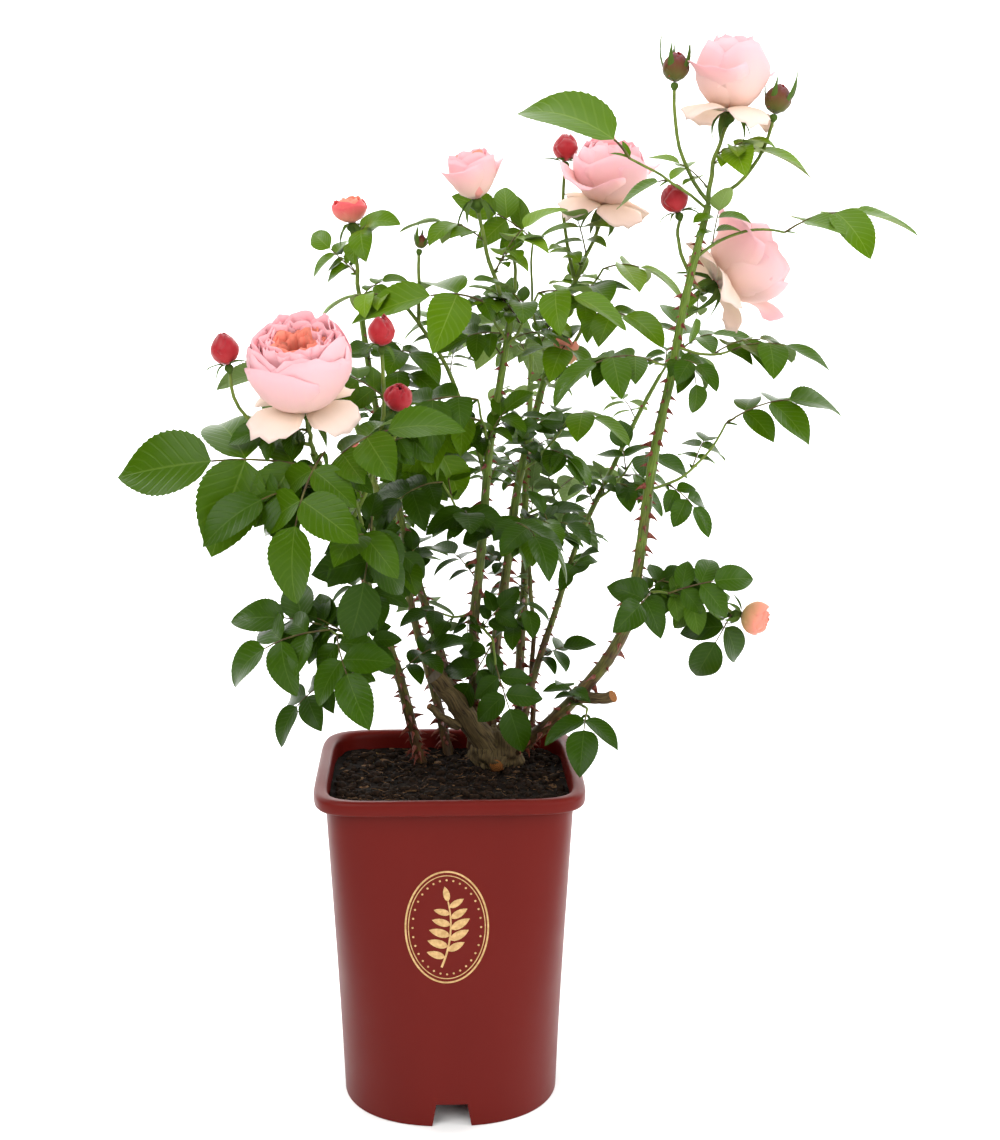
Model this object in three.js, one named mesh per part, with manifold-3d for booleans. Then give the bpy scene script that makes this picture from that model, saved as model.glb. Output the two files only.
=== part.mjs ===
// A shrub rose growing in its grower's pot: a rounded-square plastic pot, its potting mix, the knotty
// graft union, the canes that rise from it, and one solid for each spray of leaves, buds and blooms.
// Millimetres, +Z up. Plant sizes are measured from the pot's own axis at ground level, and the whole
// group is then moved so that the origin is under the middle of the whole plant.
import * as THREE from "three";
import { mergeVertices } from "three/addons/utils/BufferGeometryUtils.js";
import Module from "manifold-3d";

const wasm = await Module();
wasm.setup();

// ---------------------------------------------------------------- driving dimensions
const GAP = 0.35; // clear air left between neighbouring solids
const POT_AXIS = [-54.3, -61, 0]; // where the pot's axis stands under the plant's middle

const POT = {
  height: 257,
  footHalf: 82.5, // half width at the foot
  neckHalf: 91.8, // half width just under the rim
  rimHalf: 100, // half width over the rim's rolled edge
  rimSection: 11, // height of the rolled rim
  wall: 1.7,
  floor: 22, // height of the raised floor's upper face
  footSquareness: 2.3, // superellipse exponent: 2 is a circle, large is a square
  rimSquareness: 7,
  sides: 32,
};
const WALL_LEVELS = [90, 175]; // heights at which the wall's outline is worked out between foot and rim
const NOTCH = { height: 17.5, topWidth: 23, footWidth: 28.6, count: 4, inset: 14, depth: 20 };
const SOIL = { level: 242, edgeRise: 2, flatHalf: 84, wallGap: 2 };

const GRAFT = { middle: [38, 50, 251], half: [21, 25, 20], lumps: 0.16, around: 10, rings: 6 };

const LEAF = {
  widest: 0.42, // where along its length a leaflet is widest
  halfWidth: 0.31, // half width as a share of its length
  fold: 0.34, // rise of the edges over the midrib, as a share of the half width
  curl: 0.1, // drop of the tip, as a share of the length
  thickness: 0.95,
  pairSizes: [0.9, 0.72, 0.55], // leaflet pairs from the leaf's end back to its stalk
};
const RACHIS = { firstPair: 0.32, pairSpacing: 0.42, lead: 0.3, radius: 1.2, arch: 0.1 };
const LEAFLET_SWING = { least: 58, spread: 16 }; // degrees between a side leaflet and its stalk
const LEAFLET_DROOP = { least: 0.1, spread: 0.25 }; // how far a side leaflet leans back from its face
const LEAF_RUN = [0.35, 0.92]; // the stretch of a spray's stem that carries its side leaves
const LEAF_SIZE = { least: 0.82, spread: 0.2 }; // a side leaf's size as a share of the spray's own
const LOOK_SPREAD = [0.5, 0.4]; // how far a leaf's facing strays across and along
const PHYLLOTAXY = 144; // degrees from one leaf to the next round a rose stem
const LEAF_LEAN = 58; // degrees between a leaf's stalk and its stem
const STEM_RADII = [1.8, 1.4]; // a spray's stem, at its foot and its tip
const TWIG_RADII = [1.6, 1.4]; // a side twig that carries a bud
const STEM_CHORD = 42;
const LIMB_CHORD = 48;
const LIMB_SIDES = 6;

// ---------------------------------------------------------------- limbs, mm from the pot's axis
// Each limb runs from its foot to its tip in one bowed sweep. "on" names the solid that carries it.
const LIMBS = [
  {
    name: "old_trunk", on: "graft_union", foot: [32, 38, 256], tip: [-10, 31, 318], bow: [-3, 2, 6],
    radii: [9.5, 7.5],
  },
  {
    name: "dead_stub", on: "old_trunk", foot: [8, 34, 277], tip: [-15, 22, 296], bow: [0, 0, -2],
    radii: [3.4, 2.6],
  },
  {
    name: "left_cane", on: "soil", foot: [-20, 52, 0], tip: [-93, -88, 505], bow: [5, 14, 0],
    radii: [4.4, 2.6],
  },
  {
    name: "left_middle_cane", on: "old_trunk", foot: [10, 36, 284], tip: [-64, 47, 594],
    bow: [-9, 14, 0], radii: [3.9, 2.1],
  },
  {
    name: "centre_cane", on: "graft_union", foot: [20, 60, 252], tip: [47, 5, 593], bow: [-8, 0, 0],
    radii: [4.6, 2.6],
  },
  {
    name: "centre_right_cane", on: "graft_union", foot: [34, 72, 252], tip: [94, 88, 604],
    bow: [-12, 4, 0], radii: [4.6, 2.4],
  },
  {
    name: "right_cane_lower", on: "graft_union", foot: [50, 38, 255], tip: [136, -12, 366],
    bow: [5, -3, -6], radii: [5.4, 4.6],
  },
  {
    name: "right_cane_upper", on: "right_cane_lower", foot: [136, -12, 366], tip: [184, -42, 674],
    bow: [-4, 0, 6], radii: [4.5, 2.5],
  },
  {
    name: "sawn_stub", on: "right_cane_lower", foot: [96, 8, 309], tip: [124, -12, 311],
    bow: [0, 0, -3], radii: [4.6, 4.2],
  },
  {
    name: "thin_right_cane", on: "graft_union", foot: [56, 58, 252], tip: [176, 146, 541],
    bow: [-14, 2, 0], radii: [3.1, 1.7],
  },
  {
    name: "pale_shoot", on: "soil", foot: [66, 76, 0], tip: [66, 96, 396], bow: [3, 0, 0],
    radii: [2.5, 1.6],
  },
  {
    name: "back_left_cane", on: "soil", foot: [2, 74, 0], tip: [-78, 152, 515], bow: [4, 2, 0],
    radii: [4, 2.2],
  },
  {
    name: "back_right_cane", on: "soil", foot: [56, 74, 0], tip: [72, 182, 555], bow: [0, 2, 0],
    radii: [4.2, 2.2],
  },
];

// ---------------------------------------------------------------- sprays, mm from the pot's axis
// Each spray is one stem from "on" (at the share "at" of that limb's length) to "to", with its leaves set
// round it by the rule below. "lead" is how a leaf carries on from the stem's tip.
const FACING = {
  front: [0, -0.86, 0.5],
  lifted: [0, -0.55, 0.84],
  up: [0, -0.22, 0.97],
  left: [-0.45, -0.6, 0.66],
  back: [0, 0.55, 0.83],
};
const SPRAYS = [
  {
    name: "big_bloom_spray", on: "left_cane", to: [-97, -96, 530], leaves: 1, leaflet: 34, turn: 200,
    face: "left",
    flowers: [
      { kind: "quartered", axis: [-0.06, -0.45, 0.89] },
      { kind: "bud", to: [-146, -114, 563], from: 0.25, bow: [-14, -2, -8], axis: [-0.2, -0.1, 1] },
    ],
  },
  {
    name: "far_left_spray", on: "left_cane", at: 0.93, to: [-84, -98, 494], leaves: 1, leaflet: 75,
    face: "front", lead: [-1, -0.05, 0.1],
  },
  {
    name: "left_upper_spray", on: "left_cane", at: 0.86, to: [-84, -112, 509], bow: [0, -8, -6],
    leaves: 3, leaflet: 56, turn: 210, face: "left", lead: [-0.3, -0.5, -0.75],
  },
  {
    name: "left_lower_spray", on: "left_cane", at: 0.5, to: [-86, -48, 372], bow: [-4, 0, -8],
    leaves: 3, leaflet: 47, turn: 160, face: "left", lead: [-0.95, -0.1, -0.25],
  },
  {
    name: "left_hanging_leaf", on: "left_cane", at: 0.36, to: [-84, -6, 326], bow: [-4, 0, 4],
    leaves: 1, turn: 280, leaflet: 36, face: "left", lead: [-0.8, -0.4, -0.5],
  },
  {
    name: "left_front_spray", on: "left_cane", at: 0.68, to: [-54, -70, 458], bow: [4, -10, -4],
    leaves: 2, leaflet: 48, turn: 250, face: "front", lead: [-0.1, -0.5, -0.8],
    flowers: [
      { kind: "tightBud", to: [-68, -60, 498], from: 0.5, bow: [-3, -2, -2], axis: [-0.1, -0.2, 1] },
    ],
  },
  {
    name: "two_bud_spray", on: "left_cane", at: 0.78, to: [-46, -62, 572], bow: [10, -2, -4],
    leaves: 2, leaflet: 34, turn: 30, face: "front",
    flowers: [
      { kind: "bud", axis: [0, -0.15, 1] },
      { kind: "bud", to: [-36, -76, 532], from: 0.5, bow: [6, -2, -4], axis: [0.1, -0.6, 0.7] },
    ],
  },
  {
    name: "salmon_bloom_spray", on: "left_middle_cane", to: [-69, 44, 655], leaves: 2, leaflet: 34,
    turn: 150, face: "left",
    flowers: [
      { kind: "smallHalfOpen", axis: [-0.1, -0.1, 1] },
    ],
  },
  {
    name: "left_middle_high_spray", on: "left_middle_cane", at: 0.82, to: [-42, 16, 566],
    bow: [4, -4, -6], leaves: 2, leaflets: 3, leaflet: 36, turn: 330, face: "up",
    lead: [0.6, -0.6, 0.1],
  },
  {
    name: "left_middle_spray", on: "left_middle_cane", at: 0.62, to: [-18, 12, 512], bow: [0, -4, -6],
    leaves: 2, leaflets: 3, leaflet: 42, turn: 280, face: "front", lead: [0.5, -0.3, -0.7],
  },
  {
    name: "left_middle_low_spray", on: "left_middle_cane", at: 0.34, to: [-34, 22, 424],
    bow: [0, -3, -4], leaves: 2, leaflets: 3, leaflet: 32, turn: 250, face: "front",
    lead: [-0.1, -0.5, -0.8],
  },
  {
    name: "long_stalk_spray", on: "centre_cane", at: 0.64, to: [-34, 2, 606], bow: [4, -2, 14],
    leaves: 2, leaflet: 32, turn: 80, face: "up", lead: [-0.9, -0.1, 0.1],
    flowers: [
      { kind: "driedBud", to: [-20, 3, 640], from: 0.82, bow: [0, 0, 2], axis: [0.2, 0, 1] },
    ],
  },
  {
    name: "half_open_bloom_spray", on: "centre_cane", to: [23, -6, 670], bow: [-1, 0, -6], leaves: 2,
    leaflet: 40, turn: 20, face: "up",
    flowers: [
      { kind: "halfOpen", axis: [-0.16, -0.12, 1] },
      { kind: "cut", from: 0.08, to: [49, -4, 636], bow: [3, 0, 0] },
    ],
  },
  {
    name: "centre_top_spray", on: "centre_cane", at: 0.94, to: [66, -14, 612], bow: [0, 0, -4],
    leaves: 2, leaflets: 3, leaflet: 46, turn: 190, face: "up", lead: [0.75, -0.4, -0.05],
  },
  {
    name: "centre_left_leaf", on: "centre_cane", at: 0.95, to: [26, -14, 606], leaves: 1, leaflet: 62,
    leaflets: 3, face: "lifted", lead: [-1, -0.15, 0.12],
  },
  {
    name: "centre_big_leaf_spray", on: "centre_cane", at: 0.72, to: [22, -22, 536], bow: [0, -3, -3],
    leaves: 2, leaflet: 50, turn: 200, face: "lifted", lead: [-0.8, -0.45, -0.05],
  },
  {
    name: "centre_spray", on: "centre_cane", at: 0.5, to: [-4, -8, 474], bow: [0, -3, -3], leaves: 3,
    leaflet: 40, turn: 300, face: "lifted", lead: [-0.7, -0.6, -0.2],
  },
  {
    name: "centre_front_spray", on: "centre_cane", at: 0.56, to: [44, -26, 446], bow: [0, -5, 0],
    leaves: 2, leaflet: 38, turn: 330, face: "up", lead: [0.4, -0.8, -0.1],
  },
  {
    name: "front_low_leaf", on: "centre_cane", at: 0.3, to: [36, 14, 330], bow: [4, -4, 8], leaves: 2,
    leaflet: 36, turn: 230, face: "front", lead: [0.25, -0.55, -0.75],
  },
  {
    name: "low_left_spray", on: "centre_cane", at: 0.34, to: [-4, 34, 366], bow: [0, 0, -4], leaves: 2,
    leaflets: 3, leaflet: 25, turn: 150, face: "up", lead: [-0.7, -0.5, 0.2],
  },
  {
    name: "open_bloom_spray", on: "centre_right_cane", to: [121, 78, 667], bow: [-2, 0, -6], leaves: 1,
    leaflet: 34, turn: 230, face: "up",
    flowers: [
      { kind: "openCup", axis: [0.12, -0.25, 1] },
      { kind: "bud", to: [93, 92, 704], from: 0.3, bow: [-5, 0, 4], axis: [0, 0, 1] },
    ],
  },
  {
    name: "round_leaf_spray", on: "centre_right_cane", at: 0.86, to: [66, 52, 650], bow: [-6, 0, -4],
    leaves: 1, leaflet: 36, turn: 190, face: "front", lead: [-0.75, -0.4, 0.5],
  },
  {
    name: "centre_right_high_spray", on: "centre_right_cane", at: 0.96, to: [120, 62, 628],
    bow: [0, 0, -5], leaves: 2, leaflets: 3, leaflet: 46, turn: 260, face: "up",
    lead: [0.95, -0.3, 0.05],
  },
  {
    name: "centre_right_spray", on: "centre_right_cane", at: 0.82, to: [106, 50, 590],
    bow: [0, -4, -6], leaves: 2, leaflet: 42, turn: 240, face: "up", lead: [0.55, -0.7, 0.1],
    flowers: [
      { kind: "peachBud", to: [88, 40, 549], from: 0.05, bow: [0, 0, -6], axis: [0, -0.1, 1] },
    ],
  },
  {
    name: "centre_right_mid_spray", on: "centre_right_cane", at: 0.62, to: [96, 66, 516],
    bow: [0, -4, -5], leaves: 3, leaflets: 3, leaflet: 38, turn: 320, face: "up", lead: [0.7, -0.6, 0],
  },
  {
    name: "centre_right_low_spray", on: "centre_right_cane", at: 0.44, to: [72, 62, 432],
    bow: [0, -3, -4], leaves: 2, leaflets: 3, leaflet: 28, turn: 300, face: "up",
    lead: [0.3, -0.8, 0.1],
  },
  {
    name: "low_middle_spray", on: "centre_right_cane", at: 0.26, to: [58, 48, 372], bow: [4, -4, -4],
    leaves: 2, leaflets: 3, leaflet: 25, turn: 250, face: "up", lead: [0.2, -0.8, -0.2],
  },
  {
    name: "pale_shoot_spray", on: "pale_shoot", to: [84, 68, 430], bow: [2, -6, 4], leaves: 3,
    leaflets: 3, leaflet: 26, turn: 0, face: "up", lead: [0.5, -0.6, 0.1],
  },
  {
    name: "pot_edge_spray", on: "right_cane_lower", at: 0.45, to: [103, -22, 300], bow: [4, -6, 4],
    leaves: 1, leaflets: 3, leaflet: 38, turn: 300, face: "up", lead: [-0.15, -0.9, -0.25],
  },
  {
    name: "right_low_spray", on: "right_cane_upper", at: 0.06, to: [160, -44, 396], bow: [0, -4, 4],
    leaves: 3, leaflet: 34, turn: 200, face: "front", lead: [0.85, -0.3, 0.3],
  },
  {
    name: "right_bud_spray", on: "right_cane_upper", at: 0.1, to: [210, -28, 378], bow: [0, 4, 9],
    leaves: 2, leaflets: 3, leaflet: 40, turn: 250, face: "front", lead: [-0.5, -0.1, -0.9],
    flowers: [
      { kind: "peachBud", axis: [0.8, -0.25, -0.15] },
    ],
  },
  {
    name: "right_arching_spray", on: "right_cane_upper", at: 0.32, to: [200, -42, 520],
    bow: [4, 0, -9], leaves: 1, leaflet: 46, turn: 100, face: "lifted", lead: [0.9, -0.1, 0.35],
  },
  {
    name: "right_middle_spray", on: "right_cane_upper", at: 0.63, to: [144, -58, 566],
    bow: [0, -4, -3], leaves: 2, leaflet: 44, turn: 170, face: "up", lead: [-0.85, -0.4, 0],
  },
  {
    name: "right_outer_spray", on: "right_cane_upper", at: 0.66, to: [200, -48, 572], bow: [2, 0, -4],
    leaves: 2, leaflet: 38, turn: 20, face: "up", lead: [0.85, -0.3, 0.1],
  },
  {
    name: "far_right_leaf", on: "right_cane_upper", at: 0.87, to: [240, -34, 655], bow: [0, 2, 9],
    leaves: 1, leaflet: 52, turn: 20, face: "up", lead: [0.95, 0.05, 0.25],
  },
  {
    name: "top_bloom_spray", on: "right_cane_upper", to: [195, -46, 728], bow: [-3, 0, 0], leaves: 1,
    leaflets: 3, leaflet: 54, turn: 335, face: "up",
    flowers: [
      { kind: "topCup", axis: [0.08, -0.05, 1] },
      { kind: "bud", to: [157, -54, 752], from: 0.04, bow: [-7, 0, -5], axis: [0.05, 0, 1] },
      { kind: "bud", to: [226, -54, 731], from: 0.06, bow: [6, 0, -8], axis: [0.2, 0, 1] },
    ],
  },
  {
    name: "top_left_leaf", on: "right_cane_upper", at: 0.99, to: [126, -61, 705], bow: [0, -4, 2],
    leaves: 1, leaflet: 84, leaflets: 1, face: "lifted", lead: [-0.96, -0.06, 1.1],
  },
  {
    name: "leaning_bloom_spray", on: "right_cane_upper", at: 0.83, to: [190, 2, 613], bow: [0, 4, -3],
    leaves: 1, leaflet: 26, turn: 100, face: "up",
    flowers: [
      { kind: "leaningCup", axis: [0.78, 0.1, 0.52] },
      { kind: "bud", to: [166, -30, 664], from: 0.05, bow: [-5, 0, 3], axis: [-0.3, -0.1, 1] },
    ],
  },
  {
    name: "thin_cane_tip_spray", on: "thin_right_cane", to: [198, 146, 566], bow: [0, 0, 2], leaves: 3,
    leaflets: 3, leaflet: 36, turn: 40, face: "up", lead: [0.7, -0.3, 0.3],
  },
  {
    name: "thin_cane_spray", on: "thin_right_cane", at: 0.66, to: [150, 100, 478], bow: [0, 0, -4],
    leaves: 3, leaflets: 3, leaflet: 32, turn: 330, face: "up", lead: [0.7, -0.5, 0.1],
  },
];

// Sprays that fill the far side of the crown, worked out from the canes they grow on.
const BACK_SPRAYS = [
  { on: "back_left_cane", shares: [0.62, 1], turn: 95 },
  { on: "back_right_cane", shares: [0.6, 1], turn: 40 },
];
const BACK_SPRAY = {
  reach: 42,
  rise: 0.45, // climb of the stem, as a share of its reach
  turnStep: 75, // degrees from one spray of a cane to the next
  leafRise: 0.3,
  leaflet: 46,
  leaves: 3,
  leaflets: 3,
};

// ---------------------------------------------------------------- flowers, mm
// A cup's mouth is its width at the top as a share of its greatest width: none for a closed bud.
const FLOWERS = {
  quartered: { radius: 38, height: 66, mouth: 0.86, guards: 4, guardReach: 54, guardTilt: 108 },
  openCup: { radius: 31, height: 56, mouth: 0.74, guards: 4, guardReach: 50, guardTilt: 118 },
  topCup: { radius: 24, height: 58, mouth: 0.72, guards: 4, guardReach: 48, guardTilt: 118 },
  leaningCup: { radius: 34, height: 58, mouth: 0.74, guards: 4, guardReach: 50, guardTilt: 116 },
  halfOpen: { radius: 21, height: 44, mouth: 0.7, guards: 0 },
  smallHalfOpen: { radius: 13.5, height: 26, mouth: 0.6, guards: 0 },
  peachBud: { radius: 12.5, height: 27, mouth: 0.5, guards: 0 },
  bud: { radius: 9.6, height: 25, mouth: 0, guards: 0 },
  tightBud: { radius: 6, height: 16, mouth: 0, guards: 0 },
  driedBud: { radius: 4.6, height: 13, mouth: 0, guards: 0 },
};
const HIP = { share: 0.34, least: 2.4, most: 5.5 }; // the green swelling under each flower
const CUP = { large: 15, fineSides: 9, coarseSides: 5, fineRings: 4, coarseRings: 3, hollowFrom: 0.86 };
const PETAL = { widest: 0.62, halfWidth: 0.42, droop: 0.12, halfThickness: 0.9 }; // shares of its length

const MATERIALS = {
  pot: new THREE.MeshStandardMaterial({ color: 0x78271c, roughness: 0.28, metalness: 0 }),
  soil: new THREE.MeshStandardMaterial({ color: 0x2a1d16, roughness: 0.95, metalness: 0 }),
  bark: new THREE.MeshStandardMaterial({ color: 0x5b4630, roughness: 0.85, metalness: 0 }),
  cane: new THREE.MeshStandardMaterial({ color: 0x5f6b32, roughness: 0.6, metalness: 0 }),
  foliage: new THREE.MeshStandardMaterial({ color: 0x35611f, roughness: 0.45, metalness: 0 }),
};
const BARKED = new Set(["old_trunk", "dead_stub", "sawn_stub", "graft_union"]);

// ---------------------------------------------------------------- geometry helpers
const vector = (xyz) => new THREE.Vector3(...xyz);
const unit = (xyz) => vector(xyz).normalize();
const radians = THREE.MathUtils.degToRad;

// A closed three.js geometry as a manifold solid.
function solidOf(geometry) {
  const bare = geometry.clone();
  bare.deleteAttribute("normal");
  bare.deleteAttribute("uv");
  const merged = mergeVertices(bare, 1e-4);
  return new wasm.Manifold(
    new wasm.Mesh({
      numProp: 3,
      vertProperties: new Float32Array(merged.attributes.position.array),
      triVerts: new Uint32Array(merged.index.array),
    }),
  );
}

// A named mesh from a manifold solid.
function meshOf(name, solid, material) {
  const { vertProperties, triVerts } = solid.getMesh();
  const geometry = new THREE.BufferGeometry()
    .setAttribute("position", new THREE.BufferAttribute(vertProperties, 3))
    .setIndex(new THREE.BufferAttribute(triVerts, 1));
  geometry.computeVertexNormals();
  const mesh = new THREE.Mesh(geometry, material);
  mesh.name = name;
  return mesh;
}

// Moves every vertex of a geometry by a function of its position.
function reshape(geometry, move) {
  const places = geometry.attributes.position;
  const point = new THREE.Vector3();
  for (let i = 0; i < places.count; i++) {
    const moved = move(point.fromBufferAttribute(places, i));
    places.setXYZ(i, moved.x, moved.y, moved.z);
  }
  return geometry;
}

// A line from one point to another, bowed sideways most at its middle and run as straight chords, so that
// whatever grows on it starts on the axis of its faceted solid.
class BowedCurve extends THREE.Curve {
  constructor(from, to, bow, chordLength) {
    super();
    const steps = Math.max(2, Math.round(from.distanceTo(to) / chordLength));
    Object.assign(this, { from, to, bow, steps });
  }
  onArc(t) {
    return this.from.clone().lerp(this.to, t).addScaledVector(this.bow, 4 * t * (1 - t));
  }
  getPoint(t, target = new THREE.Vector3()) {
    const chord = Math.min(this.steps - 1, Math.floor(t * this.steps + 1e-9));
    const [start, end] = [chord, chord + 1].map((k) => this.onArc(k / this.steps));
    return target.lerpVectors(start, end, t * this.steps - chord);
  }
}

// A tapering round (or three-sided) limb along a curve, made fatter and longer by "grow".
function limbSolid(curve, radii, sides, grow = 0) {
  const { steps } = curve;
  const frames = [];
  let across = null;
  for (let k = 0; k <= steps; k++) {
    const tangent = curve.getTangent(k / steps);
    const level = Math.abs(tangent.x) > 0.9;
    across = across ? across.clone() : new THREE.Vector3(level ? 0 : 1, 0, level ? 1 : 0);
    across.addScaledVector(tangent, -across.dot(tangent)).normalize();
    frames.push({ middle: curve.getPoint(k / steps), tangent, across, other: across.clone().cross(tangent) });
  }
  frames[0].middle.addScaledVector(frames[0].tangent, -grow);
  frames[steps].middle.addScaledVector(frames[steps].tangent, grow);
  const tube = new THREE.CylinderGeometry(1, 1, 1, sides, steps);
  return solidOf(
    reshape(tube, ({ x, y, z }) => {
      const share = y + 0.5;
      const { middle, across: e1, other: e2 } = frames[Math.round(share * steps)];
      const radius = THREE.MathUtils.lerp(radii[0], radii[1], share) + grow;
      return middle.clone().addScaledVector(e1, x * radius).addScaledVector(e2, z * radius);
    }),
  );
}

// A number from 0 to 1 that depends only on the two seeds: the plant's repeatable chance.
function chance(seed, draw) {
  const wave = Math.sin(seed * 127.1 + draw * 311.7) * 43758.5453;
  return wave - Math.floor(wave);
}

// ---------------------------------------------------------------- the pot
// How far the pot's outline stands out at an angle, as a share of its half width: a superellipse whose
// exponent grows from the nearly round foot to the square rim.
function squareness(angle, height) {
  const share = THREE.MathUtils.clamp(height / POT.height, 0, 1);
  const exponent = THREE.MathUtils.lerp(POT.footSquareness, POT.rimSquareness, share * share);
  const sum = Math.abs(Math.cos(angle)) ** exponent + Math.abs(Math.sin(angle)) ** exponent;
  return sum ** (-1 / exponent);
}

// A lathe-turned form squared off by the pot's outline, standing up along Z.
function squaredLathe(profile) {
  const lathe = new THREE.LatheGeometry(profile.map(([r, z]) => new THREE.Vector2(r, z)), POT.sides);
  lathe.rotateX(Math.PI / 2);
  return reshape(lathe, (p) => {
    const stretch = squareness(Math.atan2(p.y, p.x), p.z);
    return new THREE.Vector3(p.x * stretch, p.y * stretch, p.z);
  });
}

// Half width of the pot's outer wall at a height below the rim.
function wallHalf(height) {
  return THREE.MathUtils.lerp(POT.footHalf, POT.neckHalf, height / (POT.height - POT.rimSection));
}

function potSolid() {
  const { height, rimHalf, rimSection, wall, floor, neckHalf } = POT;
  const neck = height - rimSection;
  const outer = [0, floor - wall, ...WALL_LEVELS, neck].map((z) => [wallHalf(z), z]);
  const inner = [...WALL_LEVELS.toReversed(), floor].map((z) => [wallHalf(z) - wall, z]);
  const rim = [
    [rimHalf - 1.5, neck + 0.6],
    [rimHalf, neck + 3],
    [rimHalf, height - 3],
    [rimHalf - 1.6, height - 0.7],
    [rimHalf - 3.4, height],
    [neckHalf, height - 0.4],
    [neckHalf - wall, height - 3],
    [neckHalf - wall, neck],
  ];
  const skirtInner = [[wallHalf(floor) - wall, floor - wall], [wallHalf(0) - wall, 0]];
  const profile = [[0, floor - wall], ...skirtInner, ...outer, ...rim, ...inner, [0, floor]];
  const body = solidOf(squaredLathe(profile));
  const slot = new THREE.Shape([
    new THREE.Vector2(-NOTCH.footWidth / 2, -1),
    new THREE.Vector2(NOTCH.footWidth / 2, -1),
    new THREE.Vector2(NOTCH.topWidth / 2, NOTCH.height),
    new THREE.Vector2(-NOTCH.topWidth / 2, NOTCH.height),
  ]);
  let notched = body;
  for (let k = 0; k < NOTCH.count; k++) {
    const cutter = new THREE.ExtrudeGeometry(slot, { depth: NOTCH.depth, bevelEnabled: false });
    cutter.translate(0, 0, POT.footHalf - NOTCH.inset).rotateX(Math.PI / 2);
    cutter.rotateZ((2 * Math.PI * k) / NOTCH.count);
    notched = notched.subtract(solidOf(cutter));
  }
  return notched;
}

// The potting mix fills the pot from its floor to just under the rim, level in the middle.
function soilSolid() {
  const { level, edgeRise, flatHalf, wallGap } = SOIL;
  const inside = (z) => wallHalf(z) - POT.wall - wallGap;
  const foot = POT.floor + GAP;
  const profile = [
    [0, foot],
    [inside(foot), foot],
    ...WALL_LEVELS.map((z) => [inside(z), z]),
    [inside(level), level + edgeRise],
    [flatHalf, level],
    [0, level],
  ];
  return solidOf(squaredLathe(profile));
}

// The swollen graft: a lumpy ellipsoid cut flat where it sits on the mix.
function graftSolid(grow = 0) {
  const [a, b, c] = GRAFT.half;
  const ball = new THREE.SphereGeometry(1, GRAFT.around, GRAFT.rings).rotateX(Math.PI / 2);
  const lumpy = reshape(ball, (p) => {
    const lump = 1 + GRAFT.lumps * Math.sin(3 * p.x + 4 * p.y) * Math.cos(5 * p.z + 2 * p.x);
    return new THREE.Vector3(p.x * (a * lump + grow), p.y * (b * lump + grow), p.z * (c * lump + grow));
  });
  const above = new THREE.BoxGeometry(200, 200, 100).translate(0, 0, SOIL.level + (grow ? 0 : GAP) + 50);
  return solidOf(lumpy.translate(...GRAFT.middle)).intersect(solidOf(above));
}

// ---------------------------------------------------------------- the plant's solids so far
const placed = new Map(); // name -> { pieces, and for what carries others: curve, swollen }

function place(name, solid, more = {}) {
  placed.set(name, { pieces: [solid], ...more });
}

// True where two boxes come within the gap of each other.
function near(a, b) {
  return [0, 1, 2].every((i) => a.min[i] - GAP < b.max[i] && b.min[i] - GAP < a.max[i]);
}

// The name of a placed solid, other than the skipped ones, that comes within the gap of this one.
function neighbourTouching(solid, skipped) {
  const box = solid.boundingBox();
  for (const [name, { pieces }] of placed) {
    if (skipped.includes(name)) continue;
    for (const piece of pieces) {
      if (near(box, piece.boundingBox()) && solid.minGap(piece, 1) < 0.9 * GAP) return name;
    }
  }
  return null;
}

function growLimb({ name, on, foot, tip, bow, radii }) {
  const onSoil = on === "soil";
  const base = vector(foot);
  if (onSoil) base.z = SOIL.level - 6;
  const curve = new BowedCurve(base, vector(tip), vector(bow), LIMB_CHORD);
  const make = (grow) => limbSolid(curve, radii, LIMB_SIDES, grow);
  let solid = make(0);
  if (onSoil) {
    const above = new THREE.BoxGeometry(600, 600, 900).translate(0, 0, SOIL.level + GAP + 450);
    solid = solid.intersect(solidOf(above));
  } else {
    solid = solid.subtract(placed.get(on).swollen());
  }
  place(name, solid, { curve, swollen: () => make(GAP) });
}

// ---------------------------------------------------------------- leaves
// A leaflet of eight faces: an octahedron drawn out to a pointed blade, folded up along its midrib.
function leafletSolid(root, along, normal, length) {
  const side = normal.clone().cross(along);
  const half = length * LEAF.halfWidth;
  return solidOf(
    reshape(new THREE.OctahedronGeometry(1), ({ x, y, z }) => {
      const run = x > 0.5 ? length : x < -0.5 ? 0 : length * LEAF.widest;
      const fold = Math.abs(y) * half * LEAF.fold;
      const rise = z * 0.5 * LEAF.thickness + fold - (x > 0.5 ? LEAF.curl * length : 0);
      const point = root.clone().addScaledVector(along, run).addScaledVector(side, y * half);
      return point.addScaledVector(normal, rise);
    }),
  );
}

// The directions of one compound leaf: a unit normal to its stalk that looks the way it faces.
function bladeNormal(along, face) {
  return face.clone().addScaledVector(along, -face.dot(along)).normalize();
}

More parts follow.
